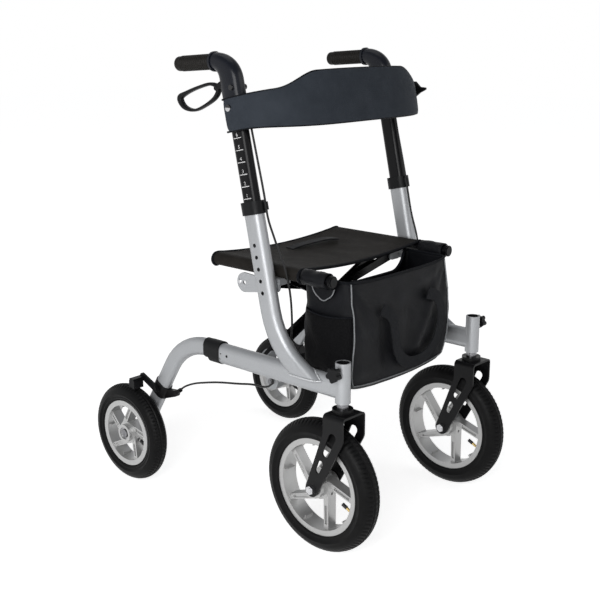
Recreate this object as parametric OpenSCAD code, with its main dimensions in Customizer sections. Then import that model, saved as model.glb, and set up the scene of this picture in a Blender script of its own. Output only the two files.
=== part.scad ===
// All-terrain rollator: a folding walking frame on four air tyres, with a seat, a bag and a backrest band.
// Millimetres. +Z is up, the front is -Y, the user's left is +X, and the origin is under the middle of the box.

/* [Front wheels] */
// Outer diameter of the front tyre
front_tyre_d = 310; // [280:1:330]
// Width of the front tyre
front_tyre_w = 56; // [44:1:62]
// Outer diameter of the front rim's flange
front_rim_d = 226; // [200:1:240]
// Distance between the middle planes of the front wheels, which is also that of the lower tubes
front_track = 496; // [460:1:540]
// How far the front axle trails behind the swivel axis
fork_trail = 56; // [40:1:66]
// Width over the fork's two legs
fork_w = 76; // [72:1:90]

/* [Rear wheels] */
// Outer diameter of the rear tyre
rear_tyre_d = 254; // [230:1:280]
// Width of the rear tyre
rear_tyre_w = 48; // [40:1:52]
// Outer diameter of the rear rim's flange
rear_rim_d = 172; // [150:1:190]
// Distance between the middle planes of the rear wheels
rear_track = 580; // [574:1:640]
// Distance from front axle to rear axle
wheel_base = 620; // [580:1:680]

/* [Side frames] */
// Height of the lower tube's middle
lower_tube_z = 394; // [388:1:420]
// Height of the lower tube's flat-oval section
lower_tube_h = 50; // [40:1:56]
// Width of the lower tube's section
lower_tube_w = 33; // [28:1:36]
// Wall of the aluminium tubes
tube_wall = 2.5; // [2:0.1:3.5]
// Outer diameter of the head tube
head_tube_d = 34; // [32:1:40]
// Height of the leg's tube section
leg_h = 44; // [36:1:45]
// Width of the leg's tube section
leg_w = 27; // [22:1:28]
// Radius of the bend in the rear leg
leg_bend_r = 155; // [120:1:180]
// How far the uprights stand outside the lower tubes
upright_offset = 14; // [8:1:18]
// How far the upright's top stands ahead of the middle between the axles
mast_ahead = 120; // [100:1:140]
// Height of the upright's top end, under its collar
mast_z = 742.5; // [700:0.5:780]
// Backward lean of the uprights in degrees
mast_tilt = 12.65; // [8:0.05:16]
// Long side of the upright's flat-oval section
upright_l = 50; // [44:1:56]
// Short side of the upright's section
upright_w = 32; // [30:1:36]
// Spacing of the height holes
hole_pitch = 26.6; // [20:0.1:30]

/* [Handles] */
// Long side of the handle post's section
post_l = 44; // [36:1:44]
// Short side of the handle post's section
post_w = 26; // [22:1:26]
// Height of the post's upper end above the upright's top
post_top = 262; // [240:1:280]
// Radius of the bend in the handle's elbow
elbow_r = 48; // [40:1:60]
// Length of the grip
grip_len = 118; // [100:1:140]
// Diameter of the grip
grip_d = 35; // [30:1:38]
// How far the grip slopes down to the rear, in degrees
grip_droop = 3.8; // [0:0.1:8]

/* [Seat and folding cross] */
// Distance between the two seat rails
rail_gap = 432; // [400:1:434]
// Height of the seat rails
rail_z = 612; // [580:1:640]
// Diameter of the seat rails
rail_d = 25; // [22:1:28]
// Distance between the two rails when the frame is folded
folded_gap = 84; // [70:1:110]
// Depth of the seat cloth from front to back
seat_depth = 276; // [240:1:300]
// How far the seat cloth sags in the middle
seat_sag = 20; // [10:1:30]

/* [Bag] */
// Width of the bag at its rim
bag_w = 376; // [320:1:390]
// Height of the bag
bag_h = 242; // [200:1:250]
// Depth of the bag from front to back
bag_depth = 146; // [110:1:150]

/* [Backrest] */
// How far the band bows out in front of the posts
band_bow = 160; // [120:1:190]
// Height of the band at its ends
band_h = 80; // [60:1:90]
// Extra height of the band in the middle
band_rise = 28; // [0:1:40]
// Thickness of the padded band
band_t = 9; // [6:1:14]

/* [Hidden] */
$fn = 64;
run_fit = 0.05;
loose_fit = 0.35;

// Places of the wheels, the swivel axes and the masts
side_x = front_track / 2;
rear_x = rear_track / 2;
mast_x = side_x + upright_offset;
rear_y = (wheel_base + (front_tyre_d - rear_tyre_d) / 2) / 2;
front_y = rear_y - wheel_base;
front_z = front_tyre_d / 2;
rear_z = rear_tyre_d / 2;
head_y = front_y - fork_trail;
mast_y = (front_y + rear_y) / 2 - mast_ahead;

// Axles, bearings and hubs
axle_d = 12;
bearing_d = 32;
bearing_w = 10;
front_hub_w = fork_w - 14;
rear_hub_w = 50;
hub_d = 46;
spoke_offset = 21;
spoke_w = 26;
spoke_root = 7.3;
spoke_tip = 6.2;
valve_turn = -64;
rim_wall = 3;
rim_depth = 13;
tyre_wall = 5;

// Head tube, stem and fork
head_top = lower_tube_z + 59;
head_bottom = lower_tube_z - 32;
stem_d = head_tube_d - 8;
stem_top = head_top - 13;
fork_top = head_bottom - 21;
fork_leg_t = 4;
fork_crown_t = 5;
cup_d = 46;
cup_h = 9;
knob_z = head_top - 21;
knob_d = 34;

// Lower tube, sleeve and rear leg
leg_ahead = 294;
leg_lift = 4;
leg_straight = 40;
joint_y = rear_y - leg_ahead;
leg_z = lower_tube_z + leg_lift;
bend_y = joint_y + leg_straight;
bend_z = leg_z - leg_bend_r;
leg_reach = norm([rear_y - bend_y, rear_z - bend_z]);
leg_turn = asin(leg_bend_r / leg_reach) + atan2(bend_z - rear_z, rear_y - bend_y);
leg_run = sqrt(leg_reach * leg_reach - leg_bend_r * leg_bend_r);
sleeve_wall = 2;

// Upright
upright_end = 22;
upright_bend_z = -215;
upright_bend_r = 182;
upright_bend = 46;
foot_run = 75;
hole_d = 7;
hole_count = 5;
first_hole = -67;
post_tail = 40;
collar_h = 29;
collar_wall = 4;

// Handle: the elbow turns from the mast's line to the grip's line
elbow_low = 214;
elbow_turn = 90 - mast_tilt + grip_droop;
elbow_start = post_top + 32.6;
elbow_end = [elbow_r * (1 - cos(elbow_turn)), elbow_start + elbow_r * sin(elbow_turn)];
elbow_long = post_l / 2 + 6.5;
elbow_short = post_w / 2 + 6;
flange_t = 5;
spigot_d = 22;
lever_at = [16, elbow_start - 1];
lever_w = 14;
lever_turn = 12;

// Folding cross: both bars cross at the middle, and each lifts the far rail
cross_x = rail_gap / 2;
brace_low = lower_tube_z + 14;
brace_mid = (rail_z + brace_low) / 2;
brace_half = norm([cross_x, rail_z - brace_mid]);
brace_rest = atan2(rail_z - brace_mid, cross_x);
brace_folded = acos(folded_gap / 2 / brace_half);
brace_r = 13;
brace_t = 12;
brace_a_y = mast_y + 2;
brace_b_y = brace_a_y + brace_t + 3;
pin_d = 10;
link_z = rail_z - 37;
link_t = 8;
link_r = 10;
link_rise = link_z - brace_low;
link_d = link_rise * brace_half / (2 * brace_half * (sin(brace_folded) + sin(brace_rest)) - link_rise);
link_end = [link_d * cos(brace_rest), brace_mid + link_d * sin(brace_rest)];
link_left_y = brace_a_y - (brace_t + link_t) / 2 - 1.5;
link_right_y = brace_b_y + (brace_t + link_t) / 2 + 1.5;

// Seat rails, seat cloth and bag
rail_ahead = 179;
rail_l = 353;
rail_front = mast_y - rail_ahead;
rail_rear = rail_front + rail_l;
hem_t = 2.7;
hem_r = rail_d / 2 + 0.3 + hem_t;
seat_t = 3.5;
seat_rear = rail_rear;
seat_front = seat_rear - seat_depth;
bag_drop = 6;
bag_under = 36;
bag_taper = 12;
bag_corner = 22;
bag_foot = 34;
bag_bulge = 12;
bag_bulge_z = 40;
bag_top = rail_z - bag_drop;
bag_low = bag_top - bag_h;
bag_back = seat_front + bag_under;
bag_front = bag_back - bag_depth;
bag_wall = 3;
bag_sag_r = 600;
bag_sag = 28;

// Backrest band in the mast's frame
band_side = elbow_short + 0.5;
band_half = mast_x + band_side + band_t;
band_low = post_top - 6 - band_h;
band_back = 30;
band_power = 3.2;

// Brake on the rear leg
clamp_at = 150;
clamp_wall = 2.5;
clamp_l = 36;
brake_pivot = leg_point(clamp_at);
shoe_at = [brake_pivot[0] + 52, rear_z + rear_tyre_d / 2 + 8];
shoe_gap = 4;
cable_stop = brake_pivot + [-61, 2.5];

// Brake cable routes on the left side, points chosen along each run
cable_d = 5;
eyelet_x = -8;
eyelet_y = -31.5;
upper_route = [
    mast_point(eyelet_x, -elbow_long + 3, elbow_low - 0.6),
    mast_point(eyelet_x, -29, 120),
    mast_point(eyelet_x, eyelet_y, 44),
    mast_point(eyelet_x, eyelet_y, 15),
    mast_point(eyelet_x, eyelet_y, -12),
    [side_x + 1, mast_y - 48, mast_z - 50],
    [side_x - 6, mast_y - 78, mast_z - 130],
    [side_x - 11, mast_y - 88, mast_z - 225],
    [side_x - 11, mast_y - 84, mast_z - 290],
    [side_x - 11, mast_y - 80, lower_tube_z + 21]];
lower_route = [
    [side_x, mast_y - 38, lower_tube_z - 21],
    [side_x, mast_y - 37, lower_tube_z - 38],
    [side_x + 3, mast_y + 36, lower_tube_z - 56],
    [side_x + 5, mast_y + 170, lower_tube_z - 83],
    [side_x + 2, cable_stop[0] - 34, cable_stop[1] + 24],
    [side_x, cable_stop[0], cable_stop[1]]];

// A point of the left mast's frame, in the part's frame
function mast_point(x, y, z) = [
    mast_x + x,
    mast_y + y * cos(mast_tilt) + z * sin(mast_tilt),
    mast_z - y * sin(mast_tilt) + z * cos(mast_tilt)];

// A point on the middle line of the leg's straight run, as y and z, counted up from the rear axle
function leg_point(s) = [rear_y - s * cos(leg_turn), rear_z + s * sin(leg_turn)];

// Corners of the straight part between two circles
function tangents(p, r, q, s) =
    let (a = atan2(q[1] - p[1], q[0] - p[0]), b = acos((r - s) / norm(q - p)))
    [p + r * [cos(a + b), sin(a + b)], q + s * [cos(a + b), sin(a + b)],
     q + s * [cos(a - b), sin(a - b)], p + r * [cos(a - b), sin(a - b)]];

// A smooth curve through the points of a route
function on_route(pts, u) =
    let (k = min(floor(u), len(pts) - 2), t = u - k,
         a = pts[max(k - 1, 0)], b = pts[k], c = pts[k + 1], d = pts[min(k + 2, len(pts) - 1)])
    b + t * (c - a) / 2 + t * t * (a - 2.5 * b + 2 * c - d / 2) + t * t * t * (-a + 3 * b - 3 * c + d) / 2;
function unit(v) = v / norm(v);

// A smooth step from 0 to 1
function ease(t) = let (u = min(max(t, 0), 1)) u * u * (3 - 2 * u);

// Flat-oval section with its long side along Y
module flat_oval(long, short) {
    square([short, long - short], center = true);
    for (s = [-1, 1])
        translate([0, s * (long - short) / 2])
            circle(d = short);
}

module oval_ring(long, short, wall) {
    difference() {
        flat_oval(long, short);
        flat_oval(long - 2 * wall, short - 2 * wall);
    }
}

// Flat bar with round ends of two sizes
module tapered_bar(p, r, q, s) {
    polygon(tangents(p, r, q, s));
    translate(p)
        circle(r);
    translate(q)
        circle(s);
}

// Rounded outline round a loop of points, each with its own half width, and the opening inside that loop
function heading(p, q) = atan2(q[1] - p[1], q[0] - p[0]);
function turned(a, b) = (b - a + 540) % 360 - 180;
function loop_outside(row) = [for (i = [0:len(row) - 1])
    let (n = len(row), here = row[i][0], a = heading(row[(i + n - 1) % n][0], here),
         t = turned(a, heading(here, row[(i + 1) % n][0])))
    each [for (k = [0:4]) here + row[i][1] * [cos(a - 90 + t * k / 4), sin(a - 90 + t * k / 4)]]];
function loop_inside(row) = [for (i = [0:len(row) - 1])
    let (n = len(row), here = row[i][0], a = heading(row[(i + n - 1) % n][0], here),
         t = turned(a, heading(here, row[(i + 1) % n][0])))
    here - row[i][1] / cos(t / 2) * [cos(a - 90 + t / 2), sin(a - 90 + t / 2)]];

// Flat shape drawn as y and z, with its thickness along X
module across(x0, x1) {
    translate([x0, 0, 0])
        rotate([90, 0, 90])
            linear_extrude(x1 - x0)
                children();
}

// Flat shape drawn as x and z, drawn out along Y
module along_y(y0, y1) {
    translate([0, y1, 0])
        rotate([90, 0, 0])
            linear_extrude(y1 - y0)
                children();
}

// Things made round Z, laid along X
module on_axle(x, y, z) {
    translate([x, y, z])
        rotate([0, 90, 0])
            children();
}

module on_mast() {
    translate([mast_x, mast_y, mast_z])
        rotate([-mast_tilt, 0, 0])
            children();
}

module on_leg(s) {
    translate([side_x, leg_point(s)[0], leg_point(s)[1]])
        rotate([90 - leg_turn, 0, 0])
            children();
}

// Flat-oval ring of points at a place on a bent tube, given as y and z, with its long side along out
function oval_points(at, out, long, short) =
    [for (half = [0, 180], k = [0:12])
        let (a = half + 15 * k, v = (half == 0 ? 1 : -1) * (long - short) / 2 + short / 2 * sin(a))
        [short / 2 * cos(a), at[0] + out[0] * v, at[1] + out[1] * v]];

// Skin over closed rings of points, in triangles
module skin(rings) {
    n = len(rings[0]);
    m = len(rings);
    points = concat([for (ring = rings) each ring], [[for (i = [0:2]) mean(rings[0], i)]],
                    [[for (i = [0:2]) mean(rings[m - 1], i)]]);
    sides = [for (k = [0:m - 2], i = [0:n - 1])
        each [[k * n + i, (k + 1) * n + i, k * n + (i + 1) % n],
              [k * n + (i + 1) % n, (k + 1) * n + i, (k + 1) * n + (i + 1) % n]]];
    ends = [for (i = [0:n - 1])
        each [[m * n, i, (i + 1) % n],
              [m * n + 1, (m - 1) * n + (i + 1) % n, (m - 1) * n + i]]];
    polyhedron(points, concat(sides, ends));
}
function mean(ring, axis) = [for (p = ring) p[axis]] * [for (p = ring) 1] / len(ring);

// Round cord along a route
module cord(route, rings, d) {
    sides = 8;
    last = len(route) - 1;
    skin([for (k = [0:rings - 1])
        let (u = k * last / (rings - 1), p = on_route(route, u),
             t = unit(on_route(route, min(u + 0.02, last)) - on_route(route, max(u - 0.02, 0))),
             a = unit(cross(t, [1, 0, 0])), b = cross(t, a))
        [for (i = [0:sides - 1]) p + d / 2 * (cos(360 * i / sides) * a + sin(360 * i / sides) * b)]]);
}

// Lower tube with the head tube welded on its end
module lower_tube_solid() {
    along_y(head_y, joint_y)
        translate([side_x, lower_tube_z])
            flat_oval(lower_tube_h, lower_tube_w);
}

module lower_frame() {
    color("silver")
    difference() {
        union() {
            along_y(head_y, joint_y)
                translate([side_x, lower_tube_z])
                    oval_ring(lower_tube_h, lower_tube_w, tube_wall);
            translate([side_x, head_y, head_bottom])
                cylinder(d = head_tube_d, h = head_top - head_bottom);
        }
        translate([side_x, head_y, head_bottom - 1])
            cylinder(d = stem_d + 2 * run_fit, h = head_top);
        translate([side_x, head_y, stem_top])
            cylinder(d = stem_d + 2, h = head_top);
        on_axle(side_x, head_y, knob_z)
            cylinder(d = 8 + 2 * run_fit, h = head_tube_d);
        translate([upper_route[9][0], upper_route[9][1], lower_tube_z])
            cylinder(d = cable_d + 5, h = lower_tube_h);
        translate([lower_route[0][0], lower_route[0][1], lower_tube_z - lower_tube_h])
            cylinder(d = cable_d + 5, h = lower_tube_h);
        on_axle(side_x, joint_y - 18, lower_tube_z - 9)
            cylinder(d = 4, h = lower_tube_w);
    }
}

// Upright with its swept foot, coped onto the lower tube
module upright() {
    color("silver")
    difference() {
        on_mast()
            upright_tube();
        lower_tube_solid();
        translate([0, head_y, lower_tube_z - 90])
            cube([2 * mast_x, mast_y - head_y, 100]);
    }
}

// Places along the upright from the foot to the top, each with the direction of the section's long side
upright_steps = 6;
function upright_place(k, over) =
    let (a = upright_bend * (1 - min(max(k, 0), upright_steps) / upright_steps),
         run = k < 0 ? foot_run + over : k > upright_steps ? upright_bend_z - upright_end - over : 0)
    [[upright_bend_r * (cos(a) - 1) - run * sin(a), upright_bend_z - upright_bend_r * sin(a) - run * cos(a)],
     [cos(a), -sin(a)]];

module upright_sweep(long, short, over) {
    skin([for (k = [-1:upright_steps + 1])
        oval_points(upright_place(k, over)[0], upright_place(k, over)[1], long, short)]);
}

module upright_tube() {
    difference() {
        upright_sweep(upright_l, upright_w, 0);
        upright_sweep(upright_l - 2 * tube_wall, upright_w - 2 * tube_wall, 1);
        for (i = [0:hole_count - 1])
            on_axle(0, 0, first_hole - i * hole_pitch)
                cylinder(d = hole_d, h = upright_w);
    }
}

// Places along the rear leg from the axle to the joint with the lower tube
leg_steps = 8;
function leg_place(k, short_by) =
    let (a = leg_turn * (1 - min(max(k, 0), leg_steps) / leg_steps))
    [k < 0 ? leg_point(short_by) :
     k > leg_steps ? [joint_y - (short_by > 0 ? 1 : 0), leg_z] :
     [bend_y + leg_bend_r * sin(a), bend_z + leg_bend_r * cos(a)],
     [sin(a), cos(a)]];

module leg_sweep(long, short, short_by) {
    translate([side_x, 0, 0])
        skin([for (k = [-1:leg_steps + 1])
            oval_points(leg_place(k, short_by)[0], leg_place(k, short_by)[1], long, short)]);
}

// Rear leg: straight, bent down and run to a boss round the axle
module rear_leg() {
    color("silver")
    difference() {
        union() {
            leg_sweep(leg_h, leg_w, 0);
            on_axle(side_x - leg_w / 2 - 0.5, rear_y, rear_z)
                cylinder(d = leg_h + 5, h = leg_w + 1);
        }
        leg_sweep(leg_h - 2 * tube_wall, leg_w - 2 * tube_wall, leg_h / 2 + 4);
        on_axle(side_x - leg_w, rear_y, rear_z)
            cylinder(d = axle_d, h = 2 * leg_w);
    }
}

// Black sleeve over the joint of tube and leg, and the collar that guides the handle post
module frame_collars() {
    color("black") {
        difference() {
            union() {
                along_y(joint_y - 14, joint_y + 22)
                    translate([side_x, lower_tube_z + 1])
                        flat_oval(lower_tube_h + 2 * sleeve_wall + 2, lower_tube_w + 2 * sleeve_wall);
                along_y(joint_y + 22, joint_y + 40)
                    translate([side_x, leg_z])
                        flat_oval(leg_h + 5, leg_w + 5);
            }
            lower_tube_solid();
            along_y(joint_y, joint_y + 60)
                translate([side_x, leg_z])
                    flat_oval(leg_h, leg_w);
        }
        on_mast()
            difference() {
                union() {
                    linear_extrude(collar_h)
                        flat_oval(upright_l + 2 * collar_wall, upright_w + 2 * collar_wall);
                    translate([eyelet_x, eyelet_y, 6])
                        cylinder(d = cable_d + 6, h = 18);
                }
                translate([0, 0, -1])
                    linear_extrude(upright_end + 1)
                        flat_oval(upright_l, upright_w);
                linear_extrude(collar_h + 1)
                    flat_oval(post_l + 2 * loose_fit, post_w + 2 * loose_fit);
                translate([eyelet_x, eyelet_y, -1])
                    cylinder(d = cable_d + 0.8, h = collar_h + 2);
            }
    }
}

// Ears for the cross's lower pin, and the plate that carries the link's pin and props the rail
module fold_brackets(bar_y, link_y) {
    low_ear = brace_t / 2 + 1;
    link_ear = link_t / 2 + 1;
    plate_x = mast_x - upright_w / 2;
    plate_y = [mast_point(0, 0, (link_z - mast_z) / cos(mast_tilt))[1] - 22, bar_y + 72];
    color("silver") {
        difference() {
            union() {
                for (y = [bar_y - low_ear - 4, bar_y + low_ear])
                    along_y(y, y + 4)
                        tapered_bar([cross_x, brace_low], brace_r - 1, [side_x - 8, lower_tube_z], brace_r - 1);
                translate([cross_x, bar_y + low_ear + 4, brace_low])
                    rotate([90, 0, 0])
                        cylinder(d = pin_d, h = 2 * low_ear + 8);
            }
            lower_tube_solid();
        }
        difference() {
            union() {
                across(plate_x - 4, plate_x) {
                    tapered_bar([plate_y[0] + 12, link_z + 8], 12, [plate_y[1] - 23, link_z + 3], 23);
                }
                for (y = [link_y - link_ear - 4, link_y + link_ear])
                    along_y(y, y + 4)
                        tapered_bar([cross_x, link_z], link_r, [plate_x - 4 - link_r, link_z], link_r);
                for (y = [link_y - link_ear - 4, link_y + link_ear])
                    translate([plate_x - 4 - link_r, y, link_z - link_r])
                        cube([link_r, 4, 2 * link_r]);
                translate([cross_x, link_y + link_ear + 4, link_z])
                    rotate([90, 0, 0])
                        cylinder(d = pin_d - 2, h = 2 * link_ear + 8);
                rail_prop(plate_x - 2, plate_y[0]);
            }
            on_axle(plate_x - 10, plate_y[1] - 23, link_z + 3)
                cylinder(d = 9, h = 20);
        }
    }
}

// Saddle that the seat rail comes to rest in
module rail_prop(x, y) {
    along_y(y + 2, y + 22)
        difference() {
            translate([cross_x - 8, rail_z - hem_r - 9])
                square([x - cross_x + 8, 14]);
            translate([cross_x, rail_z])
                circle(hem_r + 0.6);
        }
}

// Wheels, made round Z with the outer side up
module tyre(d, w, rim_d, rim_w, tyre_sink) {
    r = d / 2;
    seat_r = rim_d / 2;
    sunk_r = seat_r - tyre_sink;
    tall = (r - sunk_r) / w;
    rotate_extrude($fn = 128)
        difference() {
            union() {
                intersection() {
                    translate([(r + sunk_r) / 2, 0])
                        scale([tall, 1])
                            circle(w / 2);
                    translate([seat_r, -w])
                        square([r - seat_r + 1, 2 * w]);
                }
                translate([seat_r - rim_depth + rim_wall, -rim_w / 2 + rim_wall])
                    square([rim_depth, rim_w - 2 * rim_wall]);
            }
            translate([(r + sunk_r) / 2, 0])
                scale([(tall * w - 2 * tyre_wall) / (w - 2 * tyre_wall), 1])
                    circle(w / 2 - tyre_wall);
            translate([sunk_r - w, -rim_w / 2 + rim_wall + 6])
                square([w + tyre_sink + 4, rim_w - 2 * rim_wall - 12]);
            for (s = [-1, 1])
                translate([r - 2.5, s * w / 7 - 1.5])
                    square([5, 3]);
        }
}

module rim(rim_d, rim_w, hub_w, spoke_turn, valve_d) {
    flange_r = rim_d / 2;
    barrel_r = flange_r - rim_depth;
    difference() {
        union() {
            rotate_extrude($fn = 96) {
                translate([barrel_r, -rim_w / 2])
                    square([rim_wall, rim_w]);
                for (y = [-rim_w / 2, rim_w / 2 - rim_wall])
                    translate([barrel_r, y])
                        square([rim_depth, rim_wall]);
            }
            intersection() {
                cylinder(r = barrel_r + 1, h = hub_w, center = true);
                for (i = [0:4])
                    rotate(72 * i + spoke_turn)
                        spoke(barrel_r);
            }
            for (i = [0:4])
                rotate(72 * i + 26 + spoke_turn)
                    translate([barrel_r - 7, -2, -12])
                        cube([8, 4, 24]);
            cylinder(d = hub_d, h = hub_w, center = true);
            cylinder(r = spoke_offset + spoke_root + 1.2, h = spoke_w + 2, center = true);
        }
        cylinder(d = bearing_d - 8, h = 2 * hub_w, center = true);
        for (s = [-1, 1])
            translate([0, 0, s * (hub_w / 2 - bearing_w / 2 - 2)])
                cylinder(d = bearing_d, h = bearing_w + 4 + 0.01, center = true);
        valve_hole(barrel_r, valve_d);
    }
}

// Spoke that leaves the hub at its side, with a shallow groove along each face
module spoke(barrel_r) {
    reach = sqrt(barrel_r * barrel_r - spoke_offset * spoke_offset);
    difference() {
        linear_extrude(spoke_w, center = true)
            translate([0, -spoke_offset])
                polygon([[-2, -spoke_root], [reach + 6, -spoke_tip], [reach + 6, spoke_tip], [-2, spoke_root]]);
        for (z = [spoke_w / 2 - 3.5, -spoke_w / 2 - 5.5])
            translate([0, -spoke_offset, z])
                linear_extrude(9)
                    polygon([[0.42 * reach, -4], [0.88 * reach, -3], [0.88 * reach, 3], [0.42 * reach, 4]]);
    }
}

module valve_hole(barrel_r, valve_d) {
    rotate([0, 90, valve_turn])
        cylinder(d = valve_d, h = barrel_r + rim_wall);
}

// Ball bearings pressed in the hub, and the tyre's valve
module fittings(rim_d, hub_w, valve_d) {
    barrel_r = rim_d / 2 - rim_depth;
    for (s = [-1, 1])
        translate([0, 0, s * (hub_w / 2 - 4 - bearing_w / 2)])
            rotate_extrude()
                difference() {
                    translate([axle_d / 2 + run_fit, -bearing_w / 2])
                        square([bearing_d / 2 - axle_d / 2 - run_fit, bearing_w]);
                    translate([axle_d / 2 + 3, s * bearing_w / 2 - 0.5])
                        square([4.5, 1]);
                    translate([axle_d / 2 + 3, s * bearing_w / 2 - 0.5])
                        mirror([0, 1])
                            square([4.5, 0.5]);
                }
    rotate([0, 90, valve_turn]) {
        translate([0, 0, barrel_r - 30])
            cylinder(d = valve_d, h = 30 + rim_wall);
        translate([0, 0, barrel_r - 34])
            cylinder(d = valve_d + 2, h = 13);
    }
}

front_rim_w = front_tyre_w - 12;
rear_rim_w = rear_tyre_w - 8;
front_valve_d = 6.5;
rear_valve_d = 7;

module front_tyre() {
    color("black")
        on_axle(side_x, front_y, front_z)
            tyre(front_tyre_d, front_tyre_w, front_rim_d, front_rim_w, 14);
}

module front_rim() {
    color("gainsboro")
        on_axle(side_x, front_y, front_z)
            rim(front_rim_d, front_rim_w, front_hub_w, -1, front_valve_d);
}

module front_fittings() {
    color("gold")
        on_axle(side_x, front_y, front_z)
            fittings(front_rim_d, front_hub_w, front_valve_d);
}

module rear_tyre() {
    color("black")
        on_axle(rear_x, rear_y, rear_z)
            tyre(rear_tyre_d, rear_tyre_w, rear_rim_d, rear_rim_w, 7);
}

module rear_rim() {
    color("gainsboro")
        on_axle(rear_x, rear_y, rear_z)
            rim(rear_rim_d, rear_rim_w, rear_hub_w, -7, rear_valve_d);
}

module rear_fittings() {
    color("dimgray")
        on_axle(rear_x, rear_y, rear_z)
            fittings(rear_rim_d, rear_hub_w, rear_valve_d);
}

// Rear axle bolt: nut inside the leg, spacer, and a head sunk in the hub
module rear_axle() {
    leg_in = side_x - leg_w / 2 - 0.5;
    leg_out = side_x + leg_w / 2 + 0.5;
    hub_in = rear_x - rear_hub_w / 2;
    color("dimgray") {
        on_axle(leg_in - 9, rear_y, rear_z)
            cylinder(d = axle_d, h = rear_x + rear_hub_w / 2 - leg_in + 7);
        on_axle(leg_in - 7, rear_y, rear_z)
            cylinder(d = 21, h = 7, $fn = 6);
        on_axle(leg_out, rear_y, rear_z)
            cylinder(d = 18, h = hub_in + 4 - loose_fit - leg_out);
        on_axle(rear_x + rear_hub_w / 2 - 4 + loose_fit, rear_y, rear_z)
            cylinder(d = 20, h = 3);
    }
}

// Front axle bolt with its nuts and the spacers beside the hub
module front_axle() {
    inside = fork_w / 2 - fork_leg_t;
    color("dimgray")
        translate([side_x, 0, 0]) {
            on_axle(-fork_w / 2 - 8, front_y, front_z)
                cylinder(d = axle_d, h = fork_w + 16);
            for (x = [-fork_w / 2 - 7, fork_w / 2])
                on_axle(x, front_y, front_z)
                    cylinder(d = 21, h = 7, $fn = 6);
            for (x = [-inside, front_hub_w / 2 - 4 + loose_fit])
                on_axle(x, front_y, front_z)
                    cylinder(d = 18, h = inside - front_hub_w / 2 + 4 - loose_fit);
        }
}

// Fork: a plate bent to a U, with slotted legs and the bearing cup on its crown
module fork_side() {
    knee = [head_y - 4, fork_top - 51];
    difference() {
        union() {
            translate([head_y - 32, knee[1]])
                square([56, fork_top - knee[1]]);
            tapered_bar(knee, 28, [front_y, front_z], 17);
        }
        tapered_bar([knee[0] + 1, knee[1] + 2], 10, [knee[0] + 20, knee[1] - 40], 8);
        tapered_bar([knee[0] + 34, knee[1] - 66], 7, [knee[0] + 42, knee[1] - 85], 6);
    }
}

module fork_u(w, top, r) {
    translate([-w / 2, front_z - 40])
        square([w, top - r - front_z + 40]);
    translate([-w / 2 + r, front_z - 40])
        square([w - 2 * r, top - front_z + 40]);
    for (s = [-1, 1])
        translate([s * (w / 2 - r), top - r])
            circle(r);
}

module fork() {
    color("dimgray")
        translate([side_x, 0, 0])
            difference() {
                union() {
                    intersection() {
                        along_y(head_y - 60, front_y + 60)
                            difference() {
                                fork_u(fork_w, fork_top, 10);
                                translate([0, -1])
                                    fork_u(fork_w - 2 * fork_leg_t, fork_top - fork_crown_t + 1, 6);
                            }
                        across(-fork_w, fork_w)
                            fork_side();
                    }
                    translate([0, head_y, fork_top])
                        cylinder(d = cup_d, h = cup_h);
                }
                translate([0, head_y, fork_top - 20])
                    cylinder(d = stem_d, h = 60);
                on_axle(-fork_w, front_y, front_z)
                    cylinder(d = axle_d, h = 2 * fork_w);
            }
}

module fork_stem() {
    color("silver")
        translate([side_x, head_y, fork_top - fork_crown_t])
            cylinder(d = stem_d, h = stem_top - fork_top + fork_crown_t);
}

// Star knob that locks the swivel
module lock_knob() {
    outside = side_x + head_tube_d / 2;
    tip = side_x + stem_d / 2 + 0.6;
    color("black") {
        on_axle(tip, head_y, knob_z)
            cylinder(d = 8, h = outside + 8 - tip);
        on_axle(outside + 0.4, head_y, knob_z)
            cylinder(d = 15, h = 6);
        on_axle(outside + 6, head_y, knob_z)
            linear_extrude(15) {
                circle(d = knob_d - 10);
                for (i = [0:4])
                    rotate(72 * i)
                        translate([knob_d / 2 - 5.5, 0])
                            circle(d = 11);
            }
    }
}

// Brake clamp round the leg, with the arm's pin and the cable's barrel adjuster
module brake_clamp() {
    outer = side_x + leg_w / 2 + clamp_wall;
    lean = heading(cable_stop, [lower_route[4][1], lower_route[4][2]]);
    color("dimgray") {
        on_leg(clamp_at - clamp_l / 2)
            linear_extrude(clamp_l)
                difference() {
                    flat_oval(leg_h + 2 * clamp_wall, leg_w + 2 * clamp_wall);
                    flat_oval(leg_h, leg_w);
                }
        on_axle(outer - 1, brake_pivot[0], brake_pivot[1]) {
            cylinder(d = 8, h = 8.5);
            translate([0, 0, 8])
                cylinder(d = 14, h = 3);
        }
        difference() {
            union() {
                across(side_x - 6, side_x + 6)
                    tapered_bar(brake_pivot + [-20, -11], 12, cable_stop + [8, -6], 8);
                translate([side_x, cable_stop[0], cable_stop[1]])
                    rotate([lean - 90, 0, 0])
                        translate([0, 0, -10])
                            cylinder(d = 11, h = 22);
            }
            on_leg(clamp_at - 60)
                linear_extrude(120)
                    flat_oval(leg_h + 1, leg_w + 1);
            translate([side_x, cable_stop[0], cable_stop[1]])
                rotate([lean - 90, 0, 0])
                    translate([0, 0, -3])
                        cylinder(d = cable_d + 2.8, h = 30);
        }
    }
}

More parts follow.
